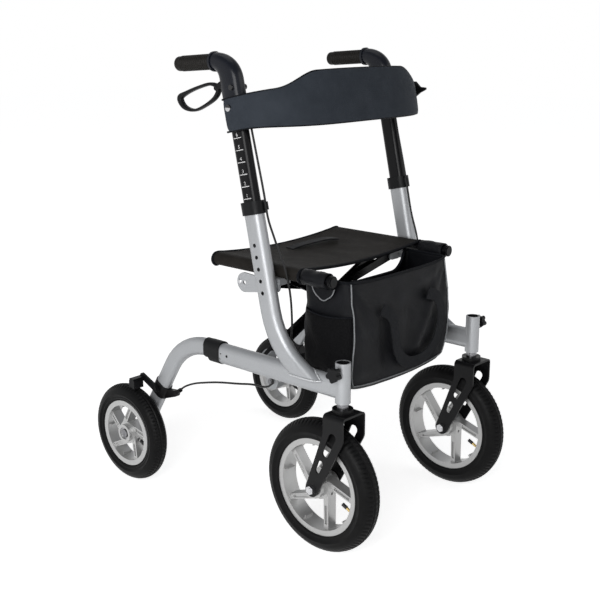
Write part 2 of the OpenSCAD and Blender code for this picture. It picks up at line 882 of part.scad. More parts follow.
// Brake arm: a plate that reaches over the tyre to a curved shoe
module brake_arm() {
    inner = side_x + leg_w / 2 + clamp_wall + loose_fit;
    color("black")
        difference() {
            union() {
                across(inner, inner + 6)
                    tapered_bar(brake_pivot, 9, shoe_at + [0, 16], 8);
                translate([inner, shoe_at[0] - 8, shoe_at[1] + 10])
                    cube([rear_x + 15 - inner, 16, 7]);
                translate([rear_x - 15, shoe_at[0] - 10, rear_z])
                    cube([30, 20, shoe_at[1] + 12 - rear_z]);
            }
            on_axle(inner - 1, brake_pivot[0], brake_pivot[1])
                cylinder(d = 8 + 2 * run_fit, h = 10);
            on_axle(rear_x - 40, rear_y, rear_z)
                cylinder(r = rear_tyre_d / 2 + shoe_gap, h = 80, $fn = 128);
        }
}

// Brake cable: down the mast into the lower tube, and out again to the rear brake
module brake_cable() {
    color("black") {
        cord(upper_route, 24, cable_d);
        cord(lower_route, 15, cable_d);
    }
}

// Handle post with the hole for its button
module handle_post() {
    color("black")
        on_mast()
            difference() {
                translate([0, 0, first_hole - post_tail])
                    linear_extrude(post_top - first_hole + post_tail)
                        oval_ring(post_l, post_w, 2);
                on_axle(0, 0, first_hole)
                    cylinder(d = hole_d - 0.4, h = post_w);
            }
}

// Spring button of the post, drawn pressed in as it is while the post slides
module height_button() {
    button_tip = post_w / 2 - 0.2;
    color("dimgray")
        on_mast() {
            on_axle(button_tip - 12, 0, first_hole)
                cylinder(d = hole_d + 3, h = 4);
            on_axle(button_tip - 9, 0, first_hole)
                cylinder(d = hole_d - 0.6, h = 9);
        }
}

// One ring of the elbow: s runs from the lower end up and round the bend
function elbow_ring(at, out, up, long, short, power) =
    [for (i = [0:35])
        let (c = cos(10 * i), s = sin(10 * i))
        [short * sign(c) * pow(abs(c), 2 / power),
         at[0] + out[0] * long * sign(s) * pow(abs(s), 2 / power),
         at[1] + out[1] * long * sign(s) * pow(abs(s), 2 / power)]];

module elbow_skin() {
    steps = 12;
    straight = [elbow_low, elbow_low + 6, elbow_start - 36, elbow_start - 12];
    skin(concat(
        [for (z = straight)
            elbow_ring([0, z], [1, 0], [0, 1], elbow_long - (z == elbow_low ? 1 : 0),
                       elbow_short - (z == elbow_low ? 1 : 0), 2.7)],
        [for (k = [0:steps])
            let (a = elbow_turn * k / steps, e = ease(k / steps))
            elbow_ring([elbow_r * (1 - cos(a)), elbow_start + elbow_r * sin(a)], [cos(a), -sin(a)], [sin(a), cos(a)],
                       elbow_long + (grip_d / 2 + 2 - elbow_long) * e,
                       elbow_short + (grip_d / 2 + 2 - elbow_short) * e, 2.7 - 0.7 * e)]));
}

// Things made round Z, put on the grip's line in the mast's frame
module on_grip() {
    on_mast()
        translate([0, elbow_end[0], elbow_end[1]])
            rotate([-elbow_turn, 0, 0])
                children();
}

module handle_elbow() {
    color("midnightblue")
        difference() {
            union() {
                on_mast()
                    elbow_skin();
                on_grip()
                    translate([0, 0, -1])
                        cylinder(d = grip_d + 9, h = flange_t + 1);
                on_grip()
                    cylinder(d = spigot_d, h = grip_len - 14);
            }
            on_mast()
                handle_cuts();
        }
}

module handle_cuts() {
    translate([0, 0, elbow_low - 1])
        linear_extrude(post_top - elbow_low + 1)
            flat_oval(post_l, post_w);
    translate([-lever_w / 2 - 0.6, 4, lever_at[1] - 26])
        cube([lever_w + 1.2, 44, 38]);
    on_axle(-30, lever_at[0], lever_at[1])
        cylinder(d = 6, h = 60);
    on_axle(-30, -14, post_top + 14)
        cylinder(d = 7, h = 60);
    on_axle(0, -6, post_top - 28)
        cylinder(d = 6, h = 60);
}

// Ridged grip with a rounded end
module grip() {
    ridges = 16;
    pitch = (grip_len - 18) / ridges;
    ridge = [for (i = [0:ridges - 1], p = [[0, 0], [0.3, 1.2], [0.7, 1.2], [1, 0]])
        [grip_d / 2 - 1.2 + p[1], 2 + (i + p[0] * 0.96) * pitch]];
    dome = [for (a = [0:15:90]) [grip_d / 2 - 7 + 6 * cos(a), grip_len - 7 + 7 * sin(a)]];
    color("black")
        on_grip()
            translate([0, 0, flange_t])
                rotate_extrude()
                    difference() {
                        polygon(concat([[0, 0], [grip_d / 2, 0]], ridge, dome, [[0, grip_len]]));
                        square([spigot_d / 2, grip_len - 14 - flange_t]);
                    }
}

// Brake lever: a closed finger loop on a pivot in the elbow
module brake_lever() {
    pivot = [mast_point(0, lever_at[0], lever_at[1])[1], mast_point(0, lever_at[0], lever_at[1])[2]];
    root = [pivot + [34, -10], 4.5];
    loop = [[pivot + [37, -36], 3.8], [pivot + [72, -56], 3.4], [pivot + [106, -67], 3.6], [pivot + [138, -62], 5.5],
            [pivot + [152, -42], 7], [pivot + [126, -28], 4], [pivot + [84, -12], 3.8]];
    color("black")
        difference() {
            across(mast_x - lever_w / 2, mast_x + lever_w / 2)
                difference() {
                    polygon(loop_outside(concat([[pivot, 8]], loop)));
                    polygon(loop_inside(concat([root], loop)));
                }
            on_axle(mast_x - lever_w, pivot[0], pivot[1])
                cylinder(d = 6 + 2 * run_fit, h = 2 * lever_w);
        }
}

// Bolt through the elbow, pin of the lever, and the bolt that holds the band
module handle_bolts() {
    half = elbow_short + 1;
    color("dimgray")
        on_mast() {
            on_axle(-half, -14, post_top + 14)
                cylinder(d = 7, h = 2 * half);
            for (x = [-half - 2.8, half - 1.2])
                on_axle(x, -14, post_top + 14)
                    cylinder(d = 12, h = 4);
            on_axle(-elbow_short + 2, lever_at[0], lever_at[1])
                cylinder(d = 6, h = 2 * elbow_short - 4);
            on_axle(post_w / 2, -6, post_top - 28)
                cylinder(d = 6, h = band_side + band_t - post_w / 2 + 1);
            on_axle(band_side + band_t + loose_fit, -6, post_top - 28)
                cylinder(d = 15, h = 4);
        }
}

// Bars of the cross, each with the rail that it lifts
module brace(y, side) {
    color("black")
        difference() {
            union() {
                along_y(y - brace_t / 2, y + brace_t / 2)
                    tapered_bar([-side * cross_x, brace_low], brace_r, [side * cross_x, rail_z], rail_d / 2 - 1);
                difference() {
                    rail(side);
                    translate([side * cross_x, rail_rear - 10, rail_z])
                        rotate([90, 0, 0])
                            cylinder(d = rail_d - 5, h = rail_rear - rail_front - 20);
                }
            }
            translate([-side * cross_x, y + brace_t, brace_low])
                rotate([90, 0, 0])
                    cylinder(d = pin_d + 2 * run_fit, h = 2 * brace_t);
            translate([0, y + brace_t, brace_mid])
                rotate([90, 0, 0])
                    cylinder(d = pin_d + (side < 0 ? 2 * run_fit : 0), h = 2 * brace_t);
        }
}

module rail(side) {
    translate([side * cross_x, rail_rear, rail_z])
        rotate([90, 0, 0])
            cylinder(d = rail_d, h = rail_rear - rail_front);
    for (i = [0:2])
        translate([side * cross_x, rail_front - 4 * i, rail_z])
            rotate([90, 0, 0]) {
                cylinder(d = rail_d + 2, h = 2.4);
                cylinder(d = rail_d - 3, h = 4);
            }
}

module brace_pivot() {
    front = brace_a_y - brace_t / 2;
    back = brace_b_y + brace_t / 2;
    color("dimgray")
        translate([0, 0, brace_mid])
            rotate([90, 0, 0]) {
                translate([0, 0, -back - 6])
                    cylinder(d = pin_d, h = back - front + 12);
                translate([0, 0, -back - 6])
                    cylinder(d = 18, h = 5.6, $fn = 6);
                translate([0, 0, -front])
                    cylinder(d = 19, h = 5);
                translate([0, 0, -brace_b_y + brace_t / 2 + loose_fit])
                    cylinder(d = 20, h = 3 - loose_fit);
            }
}

// Link from the bracket to the bar, with its pin's end at the bar
module link(y, side, towards) {
    color("black")
        difference() {
            union() {
                along_y(y - link_t / 2, y + link_t / 2)
                    tapered_bar([side * cross_x, link_z], link_r, [side * link_end[0], link_end[1]], link_r);
                translate([side * link_end[0], y + towards * (link_t / 2 + 0.5), link_end[1]])
                    rotate([90, 0, 0])
                        cylinder(d = pin_d - 2, h = 1.2, center = true);
            }
            translate([side * cross_x, y + link_t, link_z])
                rotate([90, 0, 0])
                    cylinder(d = pin_d - 2 + 2 * run_fit, h = 2 * link_t);
        }
}

// Seat cloth: half the sling, sewn round its rail
module seat(bar_y) {
    top = rail_z + hem_r;
    span = cross_x - 4;
    arc_r = (span * span + seat_sag * seat_sag) / (2 * seat_sag);
    color("darkslategray")
        difference() {
            along_y(seat_front, seat_rear)
                difference() {
                    union() {
                        translate([cross_x, rail_z])
                            circle(hem_r);
                        intersection() {
                            translate([0, rail_z - hem_r])
                                square([cross_x, 2 * hem_r + 1]);
                            difference() {
                                translate([0, top - seat_sag + arc_r - seat_t])
                                    circle(arc_r, $fn = 720);
                                translate([0, top - seat_sag + arc_r])
                                    circle(arc_r, $fn = 720);
                            }
                        }
                    }
                    translate([cross_x, rail_z])
                        circle(hem_r - hem_t);
                }
            translate([cross_x - 60, bar_y - brace_t / 2 - 2, rail_z - 40])
                cube([120, brace_t + 4, 42]);
            translate([cross_x - hem_r - 2.5, bar_y - brace_t / 2 - 2, rail_z])
                cube([2 * hem_r, brace_t + 4, rail_d / 2 - 3.5]);
        }
}

// Bag: a sewn box with an open sagging rim, hung from the rails by two sleeves
module bag_form(gap) {
    w = bag_w / 2 - gap;
    low = bag_low + gap;
    intersection() {
        along_y(bag_front - 2 * bag_bulge, bag_back)
            difference() {
                polygon([[-w, bag_top + 1], [w, bag_top + 1], [w - bag_taper, low + bag_corner], [w - bag_foot, low],
                         [bag_foot - w, low], [bag_taper - w, low + bag_corner]]);
                translate([0, bag_top - bag_sag + bag_sag_r])
                    circle(bag_sag_r, $fn = 720);
            }
        across(-bag_w, bag_w)
            polygon([[bag_back - gap, bag_top + 1], [bag_back - bag_bulge / 4 - gap, low + bag_bulge],
                     [bag_back - bag_bulge - gap, low], [bag_front + gap, low],
                     [bag_front - bag_bulge + gap, low + bag_bulge_z], [bag_front + bag_bulge / 2 + gap, bag_top + 1]]);
    }
}

module bag() {
    color("black") {
        difference() {
            bag_form(0);
            bag_form(bag_wall);
            translate([0, 0, bag_top - bag_sag - 4])
                linear_extrude(bag_sag + 8)
                    translate([-bag_w / 2 + 2 * bag_wall, bag_front + 2 * bag_wall])
                        square([bag_w - 4 * bag_wall, bag_depth - 4 * bag_wall]);
        }
        for (s = [-1, 1])
            along_y(rail_front + 2, seat_front - 5)
                difference() {
                    union() {
                        translate([s * cross_x, rail_z])
                            circle(hem_r + 3);
                        translate([s > 0 ? bag_w / 2 - 4 : -cross_x, bag_top - 16])
                            square([cross_x - bag_w / 2 + 4, 9]);
                    }
                    translate([s * cross_x, rail_z])
                        circle(rail_d / 2 + 0.3);
                }
    }
}

// Backrest band: half a padded strap bowed round the front, higher in the middle
function band_line(half, bow, k) = [
    half * pow(abs(cos(k)), 2 / band_power),
    -bow * pow(abs(sin(k)), 2 / band_power)];

module band_plan(inset) {
    polygon(concat(
        [[0, band_back + 1]],
        [[band_half - inset, band_back + 1]],
        [for (k = [0:5:90]) band_line(band_half - inset, band_bow - inset, k)]));
}

module backrest() {
    high = band_low + band_h;
    color("dimgray")
        translate([0, mast_y, mast_z])
            rotate([-mast_tilt, 0, 0])
                intersection() {
                    translate([0, 0, band_low - 10])
                        linear_extrude(band_h + band_rise + 20)
                            difference() {
                                band_plan(0);
                                band_plan(band_t);
                                translate([-1, band_back - 16])
                                    square([band_half + 10, 100]);
                            }
                    difference() {
                        along_y(-band_bow - 10, band_back + 10)
                            polygon(concat(
                                [[0, band_low], [band_half + 1, band_low], [band_half + 1, high]],
                                [for (x = [250:-10:150]) [x, high + band_rise * ease((250 - x) / 100)]],
                                [[0, high + band_rise]]));
                        on_axle(mast_x + band_side - 5, -6, post_top - 28)
                            cylinder(d = 6 + 2 * loose_fit, h = 40);
                    }
                }
}

lower_frame();  // lower_frame_left
mirror([1, 0, 0]) lower_frame();  // lower_frame_right
upright();  // upright_left
mirror([1, 0, 0]) upright();  // upright_right
rear_leg();  // rear_leg_left
mirror([1, 0, 0]) rear_leg();  // rear_leg_right
frame_collars();  // frame_collars_left
mirror([1, 0, 0]) frame_collars();  // frame_collars_right
fold_brackets(brace_b_y, link_left_y);  // fold_brackets_left
mirror([1, 0, 0]) fold_brackets(brace_a_y, link_right_y);  // fold_brackets_right
brake_clamp();  // brake_clamp_left
mirror([1, 0, 0]) brake_clamp();  // brake_clamp_right
brake_arm();  // brake_arm_left
mirror([1, 0, 0]) brake_arm();  // brake_arm_right
brake_cable();  // brake_cable_left
mirror([1, 0, 0]) brake_cable();  // brake_cable_right
rear_axle();  // rear_axle_left
mirror([1, 0, 0]) rear_axle();  // rear_axle_right
rear_tyre();  // rear_tyre_left
mirror([1, 0, 0]) rear_tyre();  // rear_tyre_right
rear_rim();  // rear_rim_left
mirror([1, 0, 0]) rear_rim();  // rear_rim_right
rear_fittings();  // rear_fittings_left
mirror([1, 0, 0]) rear_fittings();  // rear_fittings_right
fork();  // fork_left
mirror([1, 0, 0]) fork();  // fork_right
fork_stem();  // fork_stem_left
mirror([1, 0, 0]) fork_stem();  // fork_stem_right
front_axle();  // front_axle_left
mirror([1, 0, 0]) front_axle();  // front_axle_right
front_tyre();  // front_tyre_left
mirror([1, 0, 0]) front_tyre();  // front_tyre_right
front_rim();  // front_rim_left
mirror([1, 0, 0]) front_rim();  // front_rim_right
front_fittings();  // front_fittings_left
mirror([1, 0, 0]) front_fittings();  // front_fittings_right
lock_knob();  // lock_knob_left
mirror([1, 0, 0]) lock_knob();  // lock_knob_right
handle_post();  // handle_post_left
mirror([1, 0, 0]) handle_post();  // handle_post_right
handle_elbow();  // handle_elbow_left
mirror([1, 0, 0]) handle_elbow();  // handle_elbow_right
grip();  // grip_left
mirror([1, 0, 0]) grip();  // grip_right
brake_lever();  // brake_lever_left
mirror([1, 0, 0]) brake_lever();  // brake_lever_right
handle_bolts();  // handle_bolts_left
mirror([1, 0, 0]) handle_bolts();  // handle_bolts_right
height_button();  // height_button_left
mirror([1, 0, 0]) height_button();  // height_button_right
brace(brace_a_y, 1);  // brace_a
brace(brace_b_y, -1);  // brace_b
brace_pivot();
link(link_right_y, -1, -1);  // link_right
link(link_left_y, 1, 1);  // link_left
seat(brace_a_y);  // seat_left
mirror([1, 0, 0]) seat(brace_b_y);  // seat_right
bag();
backrest();  // backrest_left
mirror([1, 0, 0]) backrest();  // backrest_right
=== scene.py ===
"""All-terrain rollator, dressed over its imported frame: metres, +Z up, front towards -Y."""
import math

import bmesh
import bpy
from mathutils import Matrix, Vector, noise


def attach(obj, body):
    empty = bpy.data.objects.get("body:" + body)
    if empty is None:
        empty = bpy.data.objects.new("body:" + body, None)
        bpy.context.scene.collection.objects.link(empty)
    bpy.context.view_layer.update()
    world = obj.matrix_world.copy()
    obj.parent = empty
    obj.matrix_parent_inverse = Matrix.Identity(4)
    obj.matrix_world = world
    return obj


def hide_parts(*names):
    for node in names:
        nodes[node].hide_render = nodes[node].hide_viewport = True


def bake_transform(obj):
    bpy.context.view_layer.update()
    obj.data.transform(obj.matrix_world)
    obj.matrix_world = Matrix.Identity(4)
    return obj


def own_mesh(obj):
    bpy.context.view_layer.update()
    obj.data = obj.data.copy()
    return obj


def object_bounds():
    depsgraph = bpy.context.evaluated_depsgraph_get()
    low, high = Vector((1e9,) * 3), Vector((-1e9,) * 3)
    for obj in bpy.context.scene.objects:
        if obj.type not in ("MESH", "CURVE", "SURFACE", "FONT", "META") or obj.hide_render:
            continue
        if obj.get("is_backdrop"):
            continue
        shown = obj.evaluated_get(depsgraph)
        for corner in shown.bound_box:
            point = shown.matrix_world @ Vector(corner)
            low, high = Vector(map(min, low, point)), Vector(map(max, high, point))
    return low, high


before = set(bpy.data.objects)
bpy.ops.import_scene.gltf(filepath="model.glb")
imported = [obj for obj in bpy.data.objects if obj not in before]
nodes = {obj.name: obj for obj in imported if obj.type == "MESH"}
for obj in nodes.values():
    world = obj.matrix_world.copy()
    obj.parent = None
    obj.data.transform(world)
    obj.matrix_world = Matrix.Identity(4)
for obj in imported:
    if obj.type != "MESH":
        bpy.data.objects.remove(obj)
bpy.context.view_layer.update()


# The view. A long lens looks down a little on the rollator's right front corner,
# with the whole frame standing on a pale studio floor.
eye = Vector((-1.8635, -1.7001, 1.1440))
aim = Vector((0.0, -0.0022, 0.4790))
camera = bpy.data.objects.new("camera", bpy.data.cameras.new("camera"))
camera.data.sensor_width = 36.0
camera.data.lens = 36.0 * 1042 / 600
camera.location = eye
camera.rotation_euler = (aim - eye).to_track_quat("-Z", "Y").to_euler()
bpy.context.collection.objects.link(camera)
bpy.context.scene.camera = camera
bpy.context.scene.view_settings.view_transform = "Standard"


def new_object(name, bm, materials, shade_angle=35):
    """Turns a finished bmesh into an object, smooth except over its sharper edges."""
    for face in bm.faces:
        face.smooth = True
    for edge in bm.edges:
        edge.smooth = edge.calc_face_angle(0) < math.radians(shade_angle)
    mesh = bpy.data.meshes.new(name)
    bm.to_mesh(mesh)
    bm.free()
    for material in materials:
        mesh.materials.append(material)
    piece = bpy.data.objects.new(name, mesh)
    bpy.context.collection.objects.link(piece)
    return piece


# The floor. White paper that keeps a soft contact shadow round the wheels and also glows, a
# painted light that is weaker near the frame; it is lit by one large soft box on the left, a
# weaker one on the right, one above and a pale room whose darker ceiling shows in the tubes.
def new_finish(name, colour, roughness, metallic=0.0, specular=0.5):
    """Starts a material with the values that are the same all over its surface."""
    material = bpy.data.materials.new(name)
    material.use_nodes = True
    inputs = material.node_tree.nodes["Principled BSDF"].inputs
    inputs["Base Color"].default_value = (*colour, 1)
    inputs["Roughness"].default_value = roughness
    inputs["Metallic"].default_value = metallic
    inputs["Specular IOR Level"].default_value = specular
    return material


def feed(material, socket, value):
    """Leads a node's output into a socket of the material's shader."""
    tree = material.node_tree
    tree.links.new(value, tree.nodes["Principled BSDF"].inputs[socket])


def combined(tree, operation, one, two):
    """Two values put together by a maths node."""
    maths = tree.nodes.new("ShaderNodeMath")
    maths.operation = operation
    tree.links.new(one, maths.inputs[0])
    tree.links.new(two, maths.inputs[1])
    return maths.outputs[0]


def ranged(tree, value, start, end, low, high):
    """A value that runs from start to end, moved to run from low to high."""
    spread = tree.nodes.new("ShaderNodeMapRange")
    for limit, number in (("From Min", start), ("From Max", end), ("To Min", low), ("To Max", high)):
        spread.inputs[limit].default_value = number
    tree.links.new(value, spread.inputs["Value"])
    return spread.outputs[0]


def ramped(tree, value, stops, change="LINEAR"):
    """The colour for a value, from stops that each give a place and a colour."""
    node = tree.nodes.new("ShaderNodeValToRGB")
    ramp = node.color_ramp
    ramp.interpolation = change
    while len(ramp.elements) < len(stops):
        ramp.elements.new(0.5)
    for element, (position, colour) in zip(ramp.elements, stops):
        element.position = position
        element.color = (*colour, 1)
    tree.links.new(value, node.inputs["Fac"])
    return node.outputs["Color"]


def seen_directly(tree):
    """Is 1 on rays that see a surface straight, in a reflection or through glass."""
    path = tree.nodes.new("ShaderNodeLightPath")
    seen = combined(tree, "MAXIMUM", path.outputs["Is Camera Ray"], path.outputs["Is Glossy Ray"])
    return combined(tree, "MAXIMUM", seen, path.outputs["Is Transmission Ray"])


paper = new_finish("studio_paper", (0.93, 0.93, 0.93), 1.0, 0.0, 0.0)
paper_tree = paper.node_tree
paper_tree.nodes["Principled BSDF"].inputs["Emission Color"].default_value = (1, 1, 1, 1)
paper_place = paper_tree.nodes.new("ShaderNodeTexCoord")
paper_reach = paper_tree.nodes.new("ShaderNodeVectorMath")
paper_reach.operation = "LENGTH"
paper_tree.links.new(paper_place.outputs["Object"], paper_reach.inputs[0])
# Painted light: the paper glows where it is seen straight, in a reflection or through glass, least within
# half a metre of the middle and most beyond 1.6 m.
paper_glow = ranged(paper_tree, paper_reach.outputs["Value"], 0.5, 1.6, 0.78, 0.93)
feed(paper, "Emission Strength", combined(paper_tree, "MULTIPLY", seen_directly(paper_tree), paper_glow))
bm = bmesh.new()
bmesh.ops.create_grid(bm, x_segments=1, y_segments=1, size=14.0)
bmesh.ops.translate(bm, verts=bm.verts, vec=(0, 0, -0.0005))
new_object("floor", bm, [paper])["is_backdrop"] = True

world = bpy.data.worlds.new("studio")
bpy.context.scene.world = world
world.use_nodes = True
room = world.node_tree
room_light = room.nodes["Background"]
room_view = room.nodes.new("ShaderNodeTexCoord")
room_height = room.nodes.new("ShaderNodeSeparateXYZ")
room.links.new(room_view.outputs["Generated"], room_height.inputs[0])
ceiling = ((0.30, (1, 1, 1)), (0.75, (0.30, 0.31, 0.33)))
room.links.new(ramped(room, room_height.outputs["Z"], ceiling), room_light.inputs["Color"])
room.links.new(ranged(room, seen_directly(room), 0, 1, 0.14, 1.0), room_light.inputs["Strength"])

for light_name, place, size, power in (
        ("soft_box_left", (-2.8, -1.3, 1.5), 1.8, 64),
        ("soft_box_right", (1.8, -2.6, 2.2), 1.6, 8),
        ("soft_box_top", (0.2, 0.4, 3.2), 1.8, 8)):
    lamp = bpy.data.lights.new(light_name, "AREA")
    lamp.size = size
    lamp.energy = power
    holder = bpy.data.objects.new(light_name, lamp)
    holder.location = place
    holder.rotation_euler = (Vector((0, 0, 0.45)) - Vector(place)).to_track_quat("-Z", "Y").to_euler()
    bpy.context.collection.objects.link(holder)


# Side frames. Flat-oval aluminium tube, bent and welded, with a satin silver lacquer
# that shows a fine metallic grain.
NOISE_LOW = 0.3
NOISE_HIGH = 0.7


def object_noise(material, size):
    """Noise on the piece's own coordinates, with grains of the given size in metres."""
    tree = material.node_tree
    place = tree.nodes.new("ShaderNodeTexCoord")
    grain = tree.nodes.new("ShaderNodeTexNoise")
    grain.inputs["Scale"].default_value = 1.0 / size
    grain.inputs["Detail"].default_value = 3.0
    tree.links.new(place.outputs["Object"], grain.inputs["Vector"])
    return grain.outputs["Fac"]


def roughen(material, size, low, high):
    """Spreads the roughness between two limits, by grains of the given size."""
    grain = object_noise(material, size)
    feed(material, "Roughness", ranged(material.node_tree, grain, NOISE_LOW, NOISE_HIGH, low, high))


def tint(material, size, dark, light):
    """Spreads the colour between a darker and a lighter tone, by grains of the given size."""
    grain = object_noise(material, size)
    feed(material, "Base Color", ramped(material.node_tree, grain, ((NOISE_LOW, dark), (NOISE_HIGH, light))))


def emboss(material, value, depth, strength):
    """Raises the surface by the value, to the given depth in metres."""
    tree = material.node_tree
    bump = tree.nodes.new("ShaderNodeBump")
    bump.inputs["Strength"].default_value = strength
    bump.inputs["Distance"].default_value = depth
    tree.links.new(value, bump.inputs["Height"])
    feed(material, "Normal", bump.outputs["Normal"])


silver = new_finish("satin_silver", (0.42, 0.431, 0.446), 0.40, 0.45, 0.35)
tint(silver, 0.0012, (0.385, 0.395, 0.409), (0.455, 0.467, 0.483))
roughen(silver, 0.03, 0.36, 0.44)
emboss(silver, object_noise(silver, 0.0008), 0.00002, 0.4)
SIDES = (("right", -1), ("left", 1))


def dress(material, *names):
    """Gives CAD nodes on both sides their finish."""
    for name in names:
        for node in (name, name + "_right", name + "_left"):
            if node in nodes:
                nodes[node].data.materials.clear()
                nodes[node].data.materials.append(material)


def smoothed(material, node, body):
    """Stands a merged copy of a swept tube in for its node, so that its bends run smooth."""
    bm = bmesh.new()
    bm.from_mesh(nodes[node].data)
    bm.transform(nodes[node].matrix_world)
    bmesh.ops.remove_doubles(bm, verts=bm.verts, dist=1e-5)
    piece = new_object(node + "_tube", bm, [material], 32)
    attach(piece, body)
    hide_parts(node)


dress(silver, "lower_frame", "fold_brackets")
for side, _ in SIDES:
    smoothed(silver, "upright_" + side, "frame_" + side)
    smoothed(silver, "rear_leg_" + side, "frame_" + side)


# Weld beads. A row of small overlapping scales of filler metal runs round each upright's
# foot, where it is coped onto the lower tube.
bead_metal = new_finish("weld_bead", (0.52, 0.53, 0.54), 0.36, 0.55, 0.4)
tint(bead_metal, 0.002, (0.44, 0.45, 0.46), (0.58, 0.59, 0.60))
roughen(bead_metal, 0.003, 0.26, 0.44)
TUBE_X = 0.248
TUBE_Z = 0.394
TUBE_ROUND = 0.0165
TUBE_FLAT = 0.0085
FOOT_Z = 0.404
SCALE_STEP = 0.0026
SCALE_RADIUS = 0.0030


def on_lower_tube(spot):
    """Is true for a point of the upright on the lower tube or on the flat cut above its middle."""
    drop = max(abs(spot.z - TUBE_Z) - TUBE_FLAT, 0.0)
    reach = math.hypot(abs(spot.x) - TUBE_X, drop) - TUBE_ROUND
    return abs(reach) < 0.0008 or abs(spot.z - FOOT_Z) < 0.0004


for side, _ in SIDES:
    foot = bmesh.new()
    foot.from_mesh(bpy.data.objects["upright_" + side + "_tube"].data)
    coped = {f for f in foot.faces if all(on_lower_tube(v.co) for v in f.verts)}
    outline = [e for e in foot.edges
               if len(e.link_faces) == 2 and len(coped.intersection(e.link_faces)) == 1]
    heart = sum((v.co for e in outline for v in e.verts), Vector()) / max(1, 2 * len(outline))
    spots = []
    for edge in outline:
        wall = next(f for f in edge.link_faces if f not in coped)
        if wall.normal.dot(wall.calc_center_median() - heart) < 0:
            continue
        first, last = (v.co for v in edge.verts)
        steps = max(1, round((last - first).length / SCALE_STEP))
        for k in range(steps + 1):
            spot = first.lerp(last, k / steps)
            if all((spot - other).length > 0.8 * SCALE_STEP for other in spots):
                spots.append(spot)
    foot.free()
    bm = bmesh.new()
    for spot in spots:
        place = Matrix.Translation(spot)
        bmesh.ops.create_icosphere(bm, subdivisions=2, radius=SCALE_RADIUS, matrix=place)
    piece = new_object("weld_bead_" + side, bm, [bead_metal], 180)
    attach(piece, "frame_" + side)


# Collars, knobs, brake arms and a thin dark cup in each open head tube, painted shade for its inside.
# Moulded black plastic with a fine spark-eroded grain; the cups are spun from their section.
moulded = new_finish("moulded_black", (0.0055, 0.0058, 0.0066), 0.36, 0.0, 0.14)
roughen(moulded, 0.02, 0.36, 0.50)
emboss(moulded, object_noise(moulded, 0.0009), 0.00005, 0.6)
dress(moulded, "frame_collars", "lock_knob", "brake_arm")
HEAD_Y = -0.352
HEAD_SHADE_CUP = ((0, 0.4405), (0.01375, 0.4405), (0.01375, 0.4524), (0.01395, 0.4524),
                 (0.01395, 0.4402), (0, 0.4402))


def spin_line(bm, points, centre, axis, steps):
    """Spins a line of points once round an axis through the centre."""
    line = [bm.verts.new(point) for point in points]
    edges = [bm.edges.new(pair) for pair in zip(line, line[1:])]
    bmesh.ops.spin(bm, geom=line + edges, cent=centre, axis=axis, angle=math.tau, steps=steps,
                   use_merge=True)
    bmesh.ops.remove_doubles(bm, verts=bm.verts, dist=1e-6)


for side, sign in SIDES:
    # Painted shade: a thin dark cup that lines the top of each open head tube.
    bm = bmesh.new()
    points = [(sign * TUBE_X + rho, HEAD_Y, z) for rho, z in HEAD_SHADE_CUP]
    spin_line(bm, points, (sign * TUBE_X, HEAD_Y, 0), (0, 0, 1), 40)
    bmesh.ops.recalc_face_normals(bm, faces=bm.faces)
    piece = new_object("head_tube_shade_cup_" + side, bm, [moulded])
    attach(piece, "frame_" + side)


# Handle posts, cross bars and links. Black coated tube and bar with a smooth gloss that
# varies a little along each piece.
gloss_black = new_finish("gloss_black_tube", (0.004, 0.004, 0.005), 0.22, 0.0, 0.14)
roughen(gloss_black, 0.04, 0.18, 0.30)
dress(gloss_black, "handle_post", "brace_a", "brace_b", "link")


# Elbows. Blue-black moulded shells with a satin sheen; each sits on its post and carries
# the grip and the brake lever.
elbow_shell = new_finish("elbow_shell", (0.0090, 0.0106, 0.0160), 0.24, 0.0, 0.20)
roughen(elbow_shell, 0.02, 0.20, 0.28)
emboss(elbow_shell, object_noise(elbow_shell, 0.0007), 0.00003, 0.5)
for side, _ in SIDES:
    smoothed(elbow_shell, "handle_elbow_" + side, "handle_" + side)


# Hole shade and tube pins. Black rings with a lip sit in the height holes in each upright's outer face
# as painted shade, and a domed pin and a small screw hold the rear leg in the lower tube.
MAST_X = 0.262
MAST_Y = -0.106
MAST_Z = 0.7425
MAST_TILT = math.radians(12.65)
HOLE_TOP = -0.067
HOLE_PITCH = 0.0266
HOLE_SHADE_RING = ((0.0033, 0.0142), (0.0033, 0.0161), (0.0036, 0.0164), (0.0042, 0.0164), (0.0045, 0.01602))


def lean_to_mast(bm, x, sign=1):
    """Leans a shape made round the z axis like the masts, mirrored where sign is -1."""
    bm.transform(Matrix.Translation((x, MAST_Y, MAST_Z)) @ Matrix.Rotation(-MAST_TILT, 4, "X"))
    bm.transform(Matrix.Diagonal((sign, 1, 1, 1)))


for side, sign in SIDES:
    # Painted shade: a dark ring with a lip inside each of the five height holes.
    bm = bmesh.new()
    for k in range(5):
        height = HOLE_TOP - k * HOLE_PITCH
        spin_line(bm, [(x, 0, height + rho) for rho, x in HOLE_SHADE_RING], (0, 0, height), (1, 0, 0), 24)
    lean_to_mast(bm, MAST_X, sign)
    bmesh.ops.recalc_face_normals(bm, faces=bm.faces)
    piece = new_object("hole_shade_rings_" + side, bm, [moulded])
    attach(piece, "frame_" + side)
    bm = bmesh.new()
    for y, z, radius in ((-0.011, 0.3955, 0.0034), (0.009, 0.398, 0.0018)):
        dome = Matrix.Translation((sign * (TUBE_X + 0.0164), y, z)) @ Matrix.Diagonal((0.4, 1, 1, 1))
        bmesh.ops.create_icosphere(bm, subdivisions=3, radius=radius, matrix=dome)
    piece = new_object("tube_pins_" + side, bm, [moulded])
    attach(piece, "frame_" + side)


# Brake levers. Closed finger loops of black plastic with a thick rounded tip, moulded in
# one piece with the arm that turns on a pin in the elbow.
LEVER_HALF = 0.0068
LEVER_KNOTS = ((26, -15, 4.6), (37, -36, 3.9), (72, -56, 3.1), (106, -67, 3.3), (139, -61.5, 5.2),
               (153.5, -42, 7.0), (130, -29, 4.2), (88, -15, 3.4), (50, -7, 3.7))


